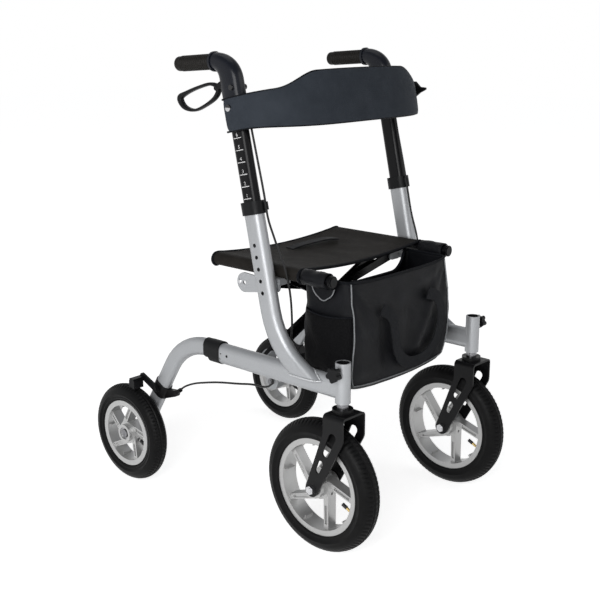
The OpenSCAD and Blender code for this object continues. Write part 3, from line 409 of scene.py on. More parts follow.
def on_mast(x, y, z):
    """A point given beside the left mast, in the part's frame."""
    return Vector((MAST_X + x, MAST_Y + y * math.cos(MAST_TILT) + z * math.sin(MAST_TILT),
                   MAST_Z - y * math.sin(MAST_TILT) + z * math.cos(MAST_TILT)))


def closed_line(knots, steps):
    """Points on a smooth closed line through the knots."""
    line = []
    for k, two in enumerate(knots):
        one, three, four = (knots[(k + m) % len(knots)] for m in (-1, 1, 2))
        for m in range(steps):
            t = m / steps
            bend = (2 * one - 5 * two + 4 * three - four) * t ** 2
            twist = (3 * two - one - 3 * three + four) * t ** 3
            line.append(0.5 * (2 * two + (three - one) * t + bend + twist))
    return line


pivot = on_mast(0, 0.016, 0.2936)
for side, sign in SIDES:
    bm = bmesh.new()
    line = closed_line([Vector(knot) / 1000 for knot in LEVER_KNOTS], 8)
    rings = []
    for k, (dy, dz, thick) in enumerate(line):
        before, after = line[k - 1], line[(k + 1) % len(line)]
        along = Vector((0, after[0] - before[0], after[1] - before[1])).normalized()
        out = Vector((0, along.z, -along.y))
        ring = []
        for m in range(16):
            c, s = math.cos(math.tau * m / 16), math.sin(math.tau * m / 16)
            spot = pivot + Vector((LEVER_HALF * math.copysign(abs(s) ** 0.5, s), dy, dz))
            ring.append(bm.verts.new(spot + out * thick * math.copysign(abs(c) ** 0.7, c)))
        rings.append([bm.edges.new((ring[m - 1], ring[m])) for m in range(16)])
    for k, ring in enumerate(rings):
        bmesh.ops.bridge_loops(bm, edges=rings[k - 1] + ring)
    neck = []
    for centre, radius in (((0, 0), 0.0080), ((0.030, -0.0145), 0.0062)):
        for m in range(24):
            a = math.tau * m / 24
            for x in (-0.9 * LEVER_HALF, 0.9 * LEVER_HALF):
                arm = Vector((x, centre[0] + radius * math.cos(a), centre[1] + radius * math.sin(a)))
                neck.append(bm.verts.new(pivot + arm))
    bmesh.ops.convex_hull(bm, input=neck)
    bm.transform(Matrix.Diagonal((sign, 1, 1, 1)))
    bmesh.ops.recalc_face_normals(bm, faces=bm.faces)
    piece = new_object("finger_loop_" + side, bm, [moulded], 50)
    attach(piece, "lever_" + side)
    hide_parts("brake_lever_" + side)


# Grips. Soft black rubber with turned ridges, dull and a little mottled, pushed onto the
# end of each elbow.
grip_rubber = new_finish("grip_rubber", (0.012, 0.011, 0.010), 0.46, 0.0, 0.10)
tint(grip_rubber, 0.006, (0.010, 0.009, 0.008), (0.018, 0.0165, 0.015))
emboss(grip_rubber, object_noise(grip_rubber, 0.0006), 0.00004, 0.4)
dress(grip_rubber, "grip")


# Forks, brake clamps and height buttons. Bent steel plate under a black powder coat with
# a fine grain.
powder_black = new_finish("powder_black_steel", (0.0045, 0.0045, 0.005), 0.38, 0.0, 0.16)
roughen(powder_black, 0.015, 0.32, 0.46)
emboss(powder_black, object_noise(powder_black, 0.0012), 0.00006, 0.7)
dress(powder_black, "fork", "brake_clamp", "height_button")


# Bolts, rivets, axles and fork stems. Zinc-plated steel, the stems and rear axles a darker steel;
# of the bolts on each handle only the one that holds the backrest is bright.
zinc = new_finish("zinc_steel", (0.56, 0.56, 0.57), 0.32, 1.0)
roughen(zinc, 0.006, 0.25, 0.42)
tint(zinc, 0.004, (0.48, 0.48, 0.50), (0.62, 0.62, 0.63))
dress(zinc, "front_axle", "brace_pivot")
stem_steel = new_finish("stem_steel", (0.20, 0.20, 0.21), 0.24, 1.0)
tint(stem_steel, 0.006, (0.15, 0.15, 0.16), (0.25, 0.25, 0.26))
roughen(stem_steel, 0.004, 0.20, 0.34)
dress(stem_steel, "fork_stem", "rear_axle")
RIVET_Z = 0.578
RIVET_SECTION = ((0, 0.2486), (0.0026, 0.2483), (0.0046, 0.2474), (0.0056, 0.2462), (0.0044, 0.2461),
                 (0.0044, 0.2419), (0.0056, 0.2418), (0.0046, 0.2404), (0, 0.2402))
for side, sign, plate_y in (("right", -1, -0.040), ("left", 1, -0.055)):
    bm = bmesh.new()
    points = [(x, plate_y, RIVET_Z + rho) for rho, x in RIVET_SECTION]
    spin_line(bm, points, (0, plate_y, RIVET_Z), (1, 0, 0), 32)
    bm.transform(Matrix.Diagonal((sign, 1, 1, 1)))
    bmesh.ops.recalc_face_normals(bm, faces=bm.faces)
    piece = new_object("plate_rivet_" + side, bm, [zinc])
    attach(piece, "frame_" + side)

BRIGHT_BELOW = 0.972
bolt_finish = new_finish("handle_bolt_finish", (0.50, 0.50, 0.51), 0.34)
tree = bolt_finish.node_tree
place = tree.nodes.new("ShaderNodeTexCoord")
split = tree.nodes.new("ShaderNodeSeparateXYZ")
tree.links.new(place.outputs["Object"], split.inputs[0])
for socket, bright, dark in (("Base Color", (0.55, 0.55, 0.56), (0.006, 0.006, 0.007)),
                             ("Metallic", (1, 1, 1), (0, 0, 0))):
    heads = ((0.0, bright), (BRIGHT_BELOW, dark))
    feed(bolt_finish, socket, ramped(tree, split.outputs["Z"], heads, "CONSTANT"))
roughen(bolt_finish, 0.004, 0.26, 0.40)
dress(bolt_finish, "handle_bolts")


# Rims. Cast five-spoke wheels in silver lacquer with a slightly uneven gloss; the rear
# ones are a shade paler.
for rim, grey in (("front_rim", 0.45), ("rear_rim", 0.50)):
    rim_silver = new_finish(rim + "_silver", (grey, grey, grey), 0.32, 0.6)
    tint(rim_silver, 0.002, (grey * 0.95, grey * 0.95, grey * 0.945),
         (grey * 1.04, grey * 1.04, grey * 1.035))
    roughen(rim_silver, 0.02, 0.30, 0.35)
    dress(rim_silver, rim)


# Bearings and valves. Steel bearings in the hub; the front valve is a bare brass stem
# with a black cap, the rear one a black rubber stem.
ZONE_SCALE = 10


def zoned(material, axle, zones):
    """Colours a wheel's fittings by their distance from the axle, each zone with its metal share."""
    tree = material.node_tree
    place = tree.nodes.new("ShaderNodeTexCoord")
    arm = tree.nodes.new("ShaderNodeVectorMath")
    arm.operation = "SUBTRACT"
    arm.inputs[1].default_value = (0, *axle)
    across = tree.nodes.new("ShaderNodeVectorMath")
    across.operation = "MULTIPLY"
    across.inputs[1].default_value = (0, ZONE_SCALE, ZONE_SCALE)
    reach = tree.nodes.new("ShaderNodeVectorMath")
    reach.operation = "LENGTH"
    tree.links.new(place.outputs["Object"], arm.inputs[0])
    tree.links.new(arm.outputs[0], across.inputs[0])
    tree.links.new(across.outputs[0], reach.inputs[0])
    for socket, tones in (("Base Color", [z[1] for z in zones]),
                          ("Metallic", [(z[2],) * 3 for z in zones])):
        stops = [(zone[0] * ZONE_SCALE, tone) for zone, tone in zip(zones, tones)]
        feed(material, socket, ramped(tree, reach.outputs["Value"], stops, "CONSTANT"))


FRONT_AXLE = (-0.296, 0.155)
REAR_AXLE = (0.324, 0.127)
brass = new_finish("brass_valve", (0.62, 0.45, 0.18), 0.32, 1.0)
zoned(brass, FRONT_AXLE,
      [(0.0, (0.50, 0.50, 0.51), 1.0), (0.05, (0.008, 0.008, 0.009), 0.0),
       (0.0795, (0.62, 0.45, 0.18), 1.0)])
roughen(brass, 0.004, 0.26, 0.42)
dress(brass, "front_fittings")
hub_steel = new_finish("hub_steel", (0.50, 0.50, 0.51), 0.34, 1.0)
zoned(hub_steel, REAR_AXLE,
      [(0.0, (0.50, 0.50, 0.51), 1.0), (0.0085, (0.012, 0.012, 0.013), 0.0),
       (0.0115, (0.50, 0.50, 0.51), 1.0), (0.04, (0.008, 0.008, 0.009), 0.0)])
roughen(hub_steel, 0.004, 0.28, 0.44)
dress(hub_steel, "rear_fittings")


# Tyres. Air tyres of black rubber with blocks on the tread and a ring moulded into
# each side wall; each is one closed body that grips its rim.
tyre_rubber = new_finish("tyre_rubber", (0.0045, 0.0045, 0.0047), 0.44, 0.0, 0.09)
tint(tyre_rubber, 0.02, (0.0034, 0.0034, 0.0036), (0.0064, 0.0064, 0.0067))
roughen(tyre_rubber, 0.01, 0.38, 0.52)
emboss(tyre_rubber, object_noise(tyre_rubber, 0.0012), 0.00008, 0.6)


def tyre(name, axle, radius, width, seat, bead, blocks):
    """Spins the tyre's section round the axle and sinks the grooves between its blocks."""
    middle = Vector(axle)
    half = width / 2
    core = radius - half
    edge = math.degrees(math.acos((seat - core) / half))
    bm = bmesh.new()
    section = [(core + half * math.cos(math.radians(t)), half * math.sin(math.radians(t)))
               for t in [-edge + 2 * edge * k / 36 for k in range(37)]]
    section += [(seat - 0.001, bead), (seat - 0.008, bead), (seat - 0.008, -bead), (seat - 0.001, -bead)]
    ring = [bm.verts.new(middle + Vector((a, 0, rho))) for rho, a in section]
    edges = [bm.edges.new((ring[k], ring[(k + 1) % len(ring)])) for k in range(len(ring))]
    steps = blocks * 4
    bmesh.ops.spin(bm, geom=ring + edges, cent=middle, axis=(1, 0, 0), angle=math.tau, steps=steps,
                   use_merge=True)
    bmesh.ops.remove_doubles(bm, verts=bm.verts, dist=1e-6)
    for vert in bm.verts:
        arm = vert.co - middle
        rho = math.hypot(arm.y, arm.z)
        lean = math.degrees(math.atan2(arm.x, rho - core))
        if rho < seat + 0.0005:
            continue
        step = round(math.atan2(arm.y, arm.z) / math.tau * steps) % steps
        outward = Vector((arm.x, arm.y * (rho - core) / rho, arm.z * (rho - core) / rho)) / half
        turn = (step + (2 if lean > 0 else 0)) % 4
        if 13 < abs(lean) < 20:
            vert.co -= outward * 0.0020
        elif 24 < abs(lean) < 52 and turn == 0:
            vert.co -= outward * (0.0018 if abs(lean) < 38 else 0.0011)
        elif abs(lean) < 9 and step % 4 == 2:
            vert.co -= outward * 0.0008
        elif 84 < abs(lean) < 92:
            vert.co += outward * 0.0009
        elif 100 < abs(lean) < 107:
            vert.co -= outward * 0.0014
    bmesh.ops.recalc_face_normals(bm, faces=bm.faces)
    return new_object(name, bm, [tyre_rubber], 30)


for side, sign in SIDES:
    piece = tyre("front_tyre_tread_" + side, (sign * 0.248, *FRONT_AXLE), 0.155, 0.056, 0.113, 0.0185, 88)
    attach(piece, "front_wheel_" + side)
    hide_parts("front_tyre_" + side)
    piece = tyre("rear_tyre_tread_" + side, (sign * 0.290, *REAR_AXLE), 0.127, 0.048, 0.086, 0.0165, 76)
    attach(piece, "rear_wheel_" + side)
    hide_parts("rear_tyre_" + side)


# Brake cables. Black sheathed cable: one run comes down beside the post into the lower
# tube, the other leaves the tube for the rear brake.
sheath = new_finish("cable_sheath", (0.005, 0.005, 0.0055), 0.38, 0.0, 0.25)
roughen(sheath, 0.01, 0.32, 0.46)


def smooth_line(name, points, steps):
    """A curve that runs smoothly through the points."""
    curve = bpy.data.curves.new(name, "CURVE")
    curve.dimensions = "3D"
    line = curve.splines.new("BEZIER")
    line.bezier_points.add(len(points) - 1)
    line.resolution_u = steps
    for knot, point in zip(line.bezier_points, points):
        knot.co = point
        knot.handle_left_type = knot.handle_right_type = "AUTO"
    return curve


def made_mesh(curve):
    """The mesh of a curve or of text, which is then removed."""
    holder = bpy.data.objects.new(curve.name + "_line", curve)
    bpy.context.collection.objects.link(holder)
    mesh = bpy.data.meshes.new_from_object(holder.evaluated_get(bpy.context.evaluated_depsgraph_get()))
    bpy.data.objects.remove(holder)
    bpy.data.curves.remove(curve)
    return mesh


def tube(name, points, radius, material, sides=10):
    """A round cord along a smooth line through the points, as a mesh."""
    curve = smooth_line(name, points, 6)
    curve.bevel_depth = radius
    curve.bevel_resolution = max(1, (sides - 4) // 2)
    curve.use_fill_caps = True
    mesh = made_mesh(curve)
    mesh.name = name
    mesh.materials.clear()
    mesh.materials.append(material)
    mesh.shade_smooth()
    piece = bpy.data.objects.new(name, mesh)
    bpy.context.collection.objects.link(piece)
    return piece


def mirrored(points, sign):
    """Points given for the left side, mirrored where sign is -1."""
    return [Vector((sign * p[0], p[1], p[2])) for p in points]


SHEATH_RADIUS = 0.0025
upper_run = [on_mast(-0.008, y, z) for y, z in
             ((-0.0255, 0.2134), (-0.029, 0.120), (-0.0315, 0.044), (-0.0315, 0.015), (-0.0315, -0.012))]
upper_run += [(0.249, -0.154, 0.6925), (0.242, -0.184, 0.6125), (0.237, -0.194, 0.5175),
              (0.237, -0.190, 0.4525), (0.237, -0.186, 0.4150)]
lower_run = [(0.248, -0.144, 0.373), (0.248, -0.143, 0.356), (0.251, -0.070, 0.338), (0.253, 0.064, 0.311),
             (0.250, 0.150, 0.281), (0.248, 0.1841, 0.2571)]
for side, sign in SIDES:
    piece = tube("upper_cable_" + side, mirrored(upper_run, sign), SHEATH_RADIUS, sheath)
    bottom, top = mirrored((on_mast(0, 0, 0.03), on_mast(0, 0, 0.17)), sign)
    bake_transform(piece)
    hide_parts("brake_cable_" + side)
    piece = tube("lower_cable_" + side, mirrored(lower_run, sign), SHEATH_RADIUS, sheath)
    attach(piece, "frame_" + side)


# Height scale. White ticks with plain numbers printed on the outer face of each post, at
# the pitch of the height holes; they stand a tenth of a millimetre proud at most.
scale_white = new_finish("scale_white", (0.80, 0.80, 0.80), 0.5)
tint(scale_white, 0.002, (0.72, 0.72, 0.72), (0.84, 0.84, 0.84))
POST_FACE = 0.0130
TICK_LOW = 0.036
NUMBER_LOW = 0.0395
for side, sign in SIDES:
    bm = bmesh.new()
    for k in range(6):
        bar = Matrix.Diagonal((0.0002, 0.024, 0.0017, 1))
        tick = bmesh.ops.create_cube(bm, size=1.0, matrix=bar)["verts"]
        bmesh.ops.translate(bm, verts=tick, vec=(POST_FACE, 0, TICK_LOW + k * HOLE_PITCH))
    for k in range(6):
        letters = bpy.data.curves.new("number", "FONT")
        letters.body = str(k + 1)
        letters.size = 0.011
        letters.align_x = "CENTER"
        letters.extrude = 0.00008
        flat = made_mesh(letters)
        flat.transform(Matrix.Rotation(math.radians(90), 4, "Z") @ Matrix.Rotation(math.radians(90), 4, "X"))
        flat.transform(Matrix.Diagonal((1, sign, 1, 1)))
        flat.transform(Matrix.Translation((POST_FACE, 0, NUMBER_LOW + k * HOLE_PITCH)))
        bm.from_mesh(flat)
        bpy.data.meshes.remove(flat)
    lean_to_mast(bm, MAST_X, sign)
    bmesh.ops.recalc_face_normals(bm, faces=bm.faces)
    piece = new_object("height_scale_" + side, bm, [scale_white])
    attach(piece, "handle_" + side)


# Seat. A sling of black-brown woven nylon, sewn into a sleeve round each rail, with
# its front and back edges bound in darker tape.
def weave(material, thread, depth):
    """Crossed threads on the piece's own coordinates, raised over and under each other."""
    tree = material.node_tree
    place = tree.nodes.new("ShaderNodeTexCoord")
    height = None
    for axis in ("X", "Y", "Z"):
        wave = tree.nodes.new("ShaderNodeTexWave")
        wave.bands_direction = axis
        wave.inputs["Scale"].default_value = 0.314 / thread
        wave.inputs["Distortion"].default_value = 0.4
        tree.links.new(place.outputs["Object"], wave.inputs["Vector"])
        threads = wave.outputs["Fac"]
        height = threads if height is None else combined(tree, "ADD", height, threads)
    emboss(material, height, depth, 0.6)


seat_nylon = new_finish("seat_nylon", (0.0225, 0.0203, 0.0183), 0.58, 0.0, 0.03)
tint(seat_nylon, 0.03, (0.0175, 0.0157, 0.0141), (0.0280, 0.0254, 0.0230))
weave(seat_nylon, 0.0011, 0.00018)
binding = new_finish("binding_tape", (0.006, 0.0067, 0.0085), 0.55, 0.0, 0.06)
tint(binding, 0.004, (0.0045, 0.005, 0.0065), (0.009, 0.010, 0.0125))
weave(binding, 0.0009, 0.00015)

RAIL_X = 0.216
RAIL_Z = 0.612
SEAT_BACK = 0.068
SEAT_FRONT = -0.208
SEAT_SAG = 0.013
HEM = 0.01415
RIGHT_BAR_Y = -0.089
LEFT_BAR_Y = -0.104


def seat_line(steps=36):
    """The sling's section from under the right rail, over both rails, to under the left one."""
    hem = [(-RAIL_X + HEM * math.cos(math.radians(a)), RAIL_Z + HEM * math.sin(math.radians(a)))
           for a in range(305, 95, -15)]
    span = RAIL_X - 0.002
    sling = []
    for k in range(steps + 1):
        x = -span + 2 * span * k / steps
        sling.append((x, RAIL_Z + HEM - SEAT_SAG * (1 - (x / span) ** 2)))
    return hem + sling + [(-x, z) for x, z in reversed(hem)]


def grow_row(bm, edges):
    """Extrudes a row of edges and gives back its new vertices and edges."""
    grown = bmesh.ops.extrude_edge_only(bm, edges=edges)["geom"]
    moved = [g for g in grown if isinstance(g, bmesh.types.BMVert)]
    row = [g for g in grown if isinstance(g, bmesh.types.BMEdge) and all(v in moved for v in g.verts)]
    return moved, row


def walled(piece, thickness, offset):
    """Gives one layer of cloth its thickness."""
    wall = piece.modifiers.new("wall", "SOLIDIFY")
    wall.thickness = thickness
    wall.offset = offset


bm = bmesh.new()
rows = 24
first = [bm.verts.new((x, SEAT_BACK - 0.003, z)) for x, z in seat_line()]
front_edge = [bm.edges.new(pair) for pair in zip(first, first[1:])]
for k in range(rows):
    moved, front_edge = grow_row(bm, front_edge)
    bmesh.ops.translate(bm, verts=moved, vec=(0, (SEAT_FRONT - SEAT_BACK + 0.006) / rows, 0))
cut = []
for face in bm.faces:
    place = face.calc_center_median()
    bar = RIGHT_BAR_Y if place.x < 0 else LEFT_BAR_Y
    if abs(place.x) > 0.196 and place.z < RAIL_Z + 0.006 and abs(place.y - bar) < 0.012:
        if abs(place.x) < RAIL_X + 0.006:
            cut.append(face)
bmesh.ops.delete(bm, geom=cut, context="FACES")
for vert in bm.verts:
    if abs(vert.co.x) < RAIL_X - 0.01:
        fade = min(1.0, (RAIL_X - abs(vert.co.x)) / 0.05)
        folds = noise.noise(Vector((vert.co.x * 26, vert.co.y * 9, 3.0)))
        vert.co.z += fade * (0.0016 * folds - 0.0022 * math.cos((vert.co.y + 0.07) * 11))
bmesh.ops.recalc_face_normals(bm, faces=bm.faces)
seat = new_object("seat_sling", bm, [seat_nylon], 60)
walled(seat, 0.0024, 0.0)
soften = seat.modifiers.new("soften", "SUBSURF")
soften.levels = soften.render_levels = 1
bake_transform(seat)
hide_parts("seat_right", "seat_left")

for edge_name, y in (("front", SEAT_FRONT + 0.002), ("back", SEAT_BACK - 0.002)):
    line = [Vector((x, y, z - 0.001)) for x, z in seat_line(24)]
    piece = tube("seat_binding_" + edge_name, line, 0.0040, binding, 8)
    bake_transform(piece)


# Pull strap. A flat strip of coarse webbing that lies along the seat and is lifted to fold
# the frame; it is grown sideways from a smooth line.
webbing = new_finish("webbing", (0.014, 0.0148, 0.017), 0.55, 0.0, 0.06)
tint(webbing, 0.003, (0.009, 0.0096, 0.0112), (0.021, 0.022, 0.025))
weave(webbing, 0.0028, 0.0005)


def strap(name, points, facing, width, thickness, material):
    """Flat webbing along a smooth line, its width square to the line and to the way it faces."""
    path = made_mesh(smooth_line(name, points, 8))
    bm = bmesh.new()
    bm.from_mesh(path)
    bpy.data.meshes.remove(path)
    step = bm.verts.layers.float_vector.new("step")
    for vert in bm.verts:
        along = Vector()
        for edge in vert.link_edges:
            first, last = sorted(edge.verts, key=lambda v: v.index)
            along += last.co - first.co
        vert[step] = along.cross(Vector(facing)).normalized() * width
    for vert in bm.verts:
        vert.co -= vert[step] / 2
    edges = list(bm.edges)
    for _ in range(4):
        moved, edges = grow_row(bm, edges)
        for vert in moved:
            vert.co += vert[step] / 4
    bmesh.ops.recalc_face_normals(bm, faces=bm.faces)
    bmesh.ops.solidify(bm, geom=bm.faces, thickness=thickness)
    return new_object(name, bm, [material], 50)


pull = strap("pull_strap", [(-0.028, 0.007, 0.6150), (0.000, 0.003, 0.6195), (0.045, -0.005, 0.6235),
                            (0.090, -0.013, 0.6255), (0.118, -0.018, 0.6225)],
             (0, 0, 1), 0.026, 0.0030, webbing)
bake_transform(pull)


# Bag. A box of black nylon that hangs open from both rails; its back rim sags low, the
# front panel swells, and grey piping runs along the seams.
bag_nylon = new_finish("bag_nylon", (0.0056, 0.0060, 0.0076), 0.42, 0.0, 0.10)
tint(bag_nylon, 0.05, (0.0046, 0.0049, 0.0062), (0.0088, 0.0094, 0.0116))
weave(bag_nylon, 0.0010, 0.00016)
BAG_TOP = 0.606
BAG_BACK = -0.174
BAG_FRONT = -0.316
BAG_HALF = 0.187
BAG_MIDDLE = -0.245


def bag_low(x):
    """Height of the bag's bottom, which sags a little between its sides."""
    return 0.354 + 0.012 * min(1.0, abs(x) / BAG_HALF) ** 2


def bag_rim(x, back):
    """Height of the open rim at a place from the front, 0, to the back, 1."""
    middle = 1 - min(1.0, abs(x) / BAG_HALF) ** 3
    ear = min(1.0, max(0.0, (0.172 - abs(x)) / 0.090))
    return BAG_TOP - 0.007 * middle * (1 - back) - 0.032 * ear * ear * (3 - 2 * ear) * back


FRONT_FOLDS = (((-0.180, 0.600), (-0.085, 0.530), 0.0055, 0.014),
               ((-0.074, 0.520), (-0.062, 0.390), -0.0080, 0.020),
               ((-0.010, 0.552), (0.105, 0.578), 0.0040, 0.018),
               ((0.104, 0.520), (0.045, 0.420), 0.0060, 0.013),
               ((0.138, 0.602), (0.116, 0.530), 0.0045, 0.009),
               ((0.022, 0.505), (0.010, 0.405), -0.0050, 0.020),
               ((-0.150, 0.400), (0.020, 0.372), 0.0040, 0.016),
               ((0.165, 0.560), (0.150, 0.400), -0.0045, 0.014))


def front_folds(x, z):
    """How far the creases of the front panel stand out at a place on it."""
    push = 0.0
    for (xa, za), (xb, zb), height, width in FRONT_FOLDS:
        run = Vector((xb - xa, zb - za))
        arm = Vector((x - xa, z - za))
        t = min(1.0, max(0.0, arm.dot(run) / run.length_squared))
        push += height * math.exp(-((arm - t * run).length / width) ** 2)
    return push


def bag_skin(turn, rise):
    """A point of the skin: turn from 0 to 1 goes once round, rise from 0 to 1 goes up."""
    c, s = math.cos(math.tau * turn), math.sin(math.tau * turn)
    swell = math.sin(math.pi * min(1.0, 0.10 + rise * 0.90))
    half = BAG_HALF + 0.004 * swell - 0.010 * (1 - min(1.0, rise * 5.0)) ** 2
    x = half * math.copysign(abs(c) ** 0.2, c)
    middle = 1 - min(1.0, abs(x) / half) ** 4
    back = BAG_BACK - 0.004 * (1 - rise) - 0.055 * rise ** 3 * middle
    front = BAG_FRONT + 0.002 - 0.014 * swell
    depth = 0.5 + 0.5 * math.copysign(abs(s) ** 0.2, s)
    y = front + (back - front) * depth
    low = bag_low(x)
    z = low + (bag_rim(x, depth) - low) * rise
    fold = noise.noise(Vector((x * 9, y * 12, z * 8)))
    crease = noise.noise(Vector((x * 26 + z * 24, y * 20, z * 12 - x * 10)))
    push = swell * (0.0070 * fold + 0.0046 * crease)
    for corner in (-BAG_HALF, BAG_HALF):
        away = math.hypot(x - corner, z - BAG_TOP)
        pleat = math.sin(13 * math.atan2(BAG_TOP - z, abs(x - corner)))
        push += swell * 0.0062 * pleat * math.exp(-((away - 0.07) / 0.06) ** 2)
    if abs(c) > abs(s):
        x += push
    elif s < 0:
        y += 0.5 * push - swell * front_folds(x, z)
    else:
        y += push
    return Vector((x, y, z))


SIDE_SPAN = 0.5 ** 0.1


def bag_turn(side, lean):
    """The turn at an even share, from -1 to 1, along one of the bag's four sides."""
    return side + math.asin(math.copysign(abs(SIDE_SPAN * lean) ** 5, lean)) / math.tau


turns = [bag_turn(side, 2 * k / count - 1)
         for side, count in ((0.0, 22), (0.25, 60), (0.5, 22), (0.75, 60)) for k in range(count)]
bm = bmesh.new()
columns, levels = len(turns), 40
rings = []
for inward in (0.05, 0.35, 0.65, 0.85, 0.955):
    ring = []
    for turn in turns:
        spot = bag_skin(turn, 0.0)
        spot.x *= inward
        spot.y = BAG_MIDDLE + (spot.y - BAG_MIDDLE) * inward
        spot.z = bag_low(spot.x) - 0.004
        ring.append(bm.verts.new(spot))
    rings.append([bm.edges.new((ring[k - 1], ring[k])) for k in range(columns)])
for level in range(levels + 1):
    ring = [bm.verts.new(bag_skin(turn, 0.012 + 0.988 * level / levels)) for turn in turns]
    rings.append([bm.edges.new((ring[k - 1], ring[k])) for k in range(columns)])
for lower, upper in zip(rings, rings[1:]):
    bmesh.ops.bridge_loops(bm, edges=lower + upper)
bmesh.ops.holes_fill(bm, edges=rings[0], sides=columns)
bmesh.ops.recalc_face_normals(bm, faces=bm.faces)
bag = new_object("bag_shell", bm, [bag_nylon], 60)
walled(bag, 0.002, -1.0)
bag_pieces = [bag]

piping_grey = new_finish("piping_grey", (0.26, 0.27, 0.28), 0.5, 0.0, 0.3)
tint(piping_grey, 0.003, (0.20, 0.21, 0.22), (0.32, 0.33, 0.34))
CORNER = math.atan2(1, 1) / math.tau
for side, turn in (("right", 0.5 + CORNER), ("left", 1.0 - CORNER)):
    seam = [bag_skin(turn, 0.02 + 0.97 * k / 16) for k in range(17)]
    for spot in seam:
        spot.x += math.copysign(0.0006, spot.x)
        spot.y -= 0.0012
    bag_pieces.append(tube("bag_piping_" + side, seam, 0.0017, piping_grey, 8))
front_seam = [bag_skin(bag_turn(0.75, k / 12 - 1), 0.02) + Vector((0, -0.0008, 0)) for k in range(25)]
bag_pieces.append(tube("bag_piping_bottom", front_seam, 0.0017, piping_grey, 8))
rim_line = [bag_skin(turn, 1.0) for turn in turns[::2] + turns[:1]]
bag_pieces.append(tube("bag_rim", rim_line, 0.0032, binding, 8))

SLEEVE_FRONT = -0.283
SLEEVE_RADIUS = 0.0172
SLEEVE_STEP = 0.0069
TONGUE_Y = -0.249


def tongue_spot(x, u, v):
    """A point of a hanging tongue, u across it from -0.5 to 0.5 and v down it from 0 to 1."""
    y = TONGUE_Y + u * 0.070 * math.sqrt(1 - 0.85 * v ** 2.5)
    return Vector((x, y, RAIL_Z - 0.002 - 0.050 * v + 0.006 * v * (2 * u) ** 2))


for side, sign in SIDES:
    bm = bmesh.new()
    end = Matrix.Translation((sign * RAIL_X, SLEEVE_FRONT, RAIL_Z)) @ Matrix.Rotation(math.pi / 2, 4, "X")
    bmesh.ops.create_circle(bm, segments=32, radius=SLEEVE_RADIUS, matrix=end)
    edges = list(bm.edges)
    for k in range(10):
        moved, edges = grow_row(bm, edges)
        bmesh.ops.translate(bm, verts=moved, vec=(0, SLEEVE_STEP, 0))
    for vert in bm.verts:
        arm = vert.co - Vector((sign * RAIL_X, vert.co.y, RAIL_Z))
        vert.co += arm.normalized() * (0.0006 + 0.0026 * noise.noise(vert.co * 48))
    bmesh.ops.recalc_face_normals(bm, faces=bm.faces)
    sleeve = new_object("bag_sleeve_" + side, bm, [bag_nylon], 60)
    walled(sleeve, 0.003, -1.0)
    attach(sleeve, "cross_b" if sign < 0 else "cross_a")

    bm = bmesh.new()
    bmesh.ops.create_grid(bm, x_segments=16, y_segments=16, size=0.5)
    for vert in bm.verts:
        u, v = vert.co.x, 0.5 - vert.co.y
        vert.co = tongue_spot(sign * (0.2335 - 0.039 * min(1.0, v * 2.2) ** 1.5), u, v)
    bmesh.ops.recalc_face_normals(bm, faces=bm.faces)
    tongue = new_object("bag_tongue_" + side, bm, [bag_nylon], 60)
    walled(tongue, 0.003, 0.0)
    bag_pieces.append(tongue)
    edge_line = [tongue_spot(sign * 0.1960, u / 2, v) for u, v in
                 ((-1, 0.45), (-1, 0.7), (-1, 0.9), (-1, 1.0), (-0.5, 1.0), (0, 1.0), (0.5, 1.0),
                  (1, 1.0), (1, 0.9), (1, 0.7), (1, 0.45))]
    bag_pieces.append(tube("bag_tongue_piping_" + side, edge_line, 0.0014, piping_grey, 8))

mesh_net = new_finish("pocket_net", (0.005, 0.005, 0.0055), 0.6, 0.0, 0.05)
tint(mesh_net, 0.002, (0.003, 0.003, 0.0034), (0.008, 0.008, 0.0088))
weave(mesh_net, 0.0030, 0.0006)


def pocket_spot(sign, u, rise, out):
    """A point of the side pocket, from the bag's back edge, 0, to its front edge, 1."""
    lean = 0.98 * (2 * u - 1)
    turn = bag_turn(0.5, lean) if sign < 0 else bag_turn(0.0, -lean)
    return bag_skin(turn, rise) + Vector((sign * out, 0, 0))


for side, sign in SIDES:
    bm = bmesh.new()
    bmesh.ops.create_grid(bm, x_segments=20, y_segments=20, size=0.5)
    for vert in bm.verts:
        u, v = vert.co.x + 0.5, vert.co.y + 0.5
        swell = math.sin(math.pi * u)
        ripple = noise.noise(Vector((u * 6, v * 5, 1)))
        out = 0.0016 + 0.009 * swell * (0.35 + 0.65 * v) + 0.0018 * ripple
        vert.co = pocket_spot(sign, u, 0.05 + 0.635 * v - 0.02 * swell * v, out)
    bmesh.ops.recalc_face_normals(bm, faces=bm.faces)
    pocket = new_object("bag_pocket_" + side, bm, [mesh_net], 60)
    walled(pocket, 0.0016, 0.0)
    bag_pieces.append(pocket)
    top_hem = []
    for u in [k / 12 for k in range(13)]:
        swell = math.sin(math.pi * u)
        top_hem.append(pocket_spot(sign, u, 0.685 - 0.02 * swell, 0.0016 + 0.009 * swell))
    bag_pieces.append(tube("bag_pocket_hem_" + side, top_hem, 0.0022, binding, 8))

carry_line = [(-0.092, -0.3345, 0.534), (-0.062, -0.3385, 0.512), (-0.049, -0.3405, 0.468),
              (-0.037, -0.3405, 0.424), (-0.006, -0.3400, 0.394), (0.045, -0.3400, 0.386),
              (0.090, -0.3400, 0.400), (0.120, -0.3400, 0.434), (0.130, -0.3395, 0.484),
              (0.114, -0.3375, 0.524), (0.080, -0.3345, 0.540)]
carry = strap("bag_handle", carry_line, (0, -1, 0), 0.028, 0.0024, webbing)
bag_pieces.append(carry)
for piece in bag_pieces:
    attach(piece, "bag")
    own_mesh(piece)
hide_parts("bag")


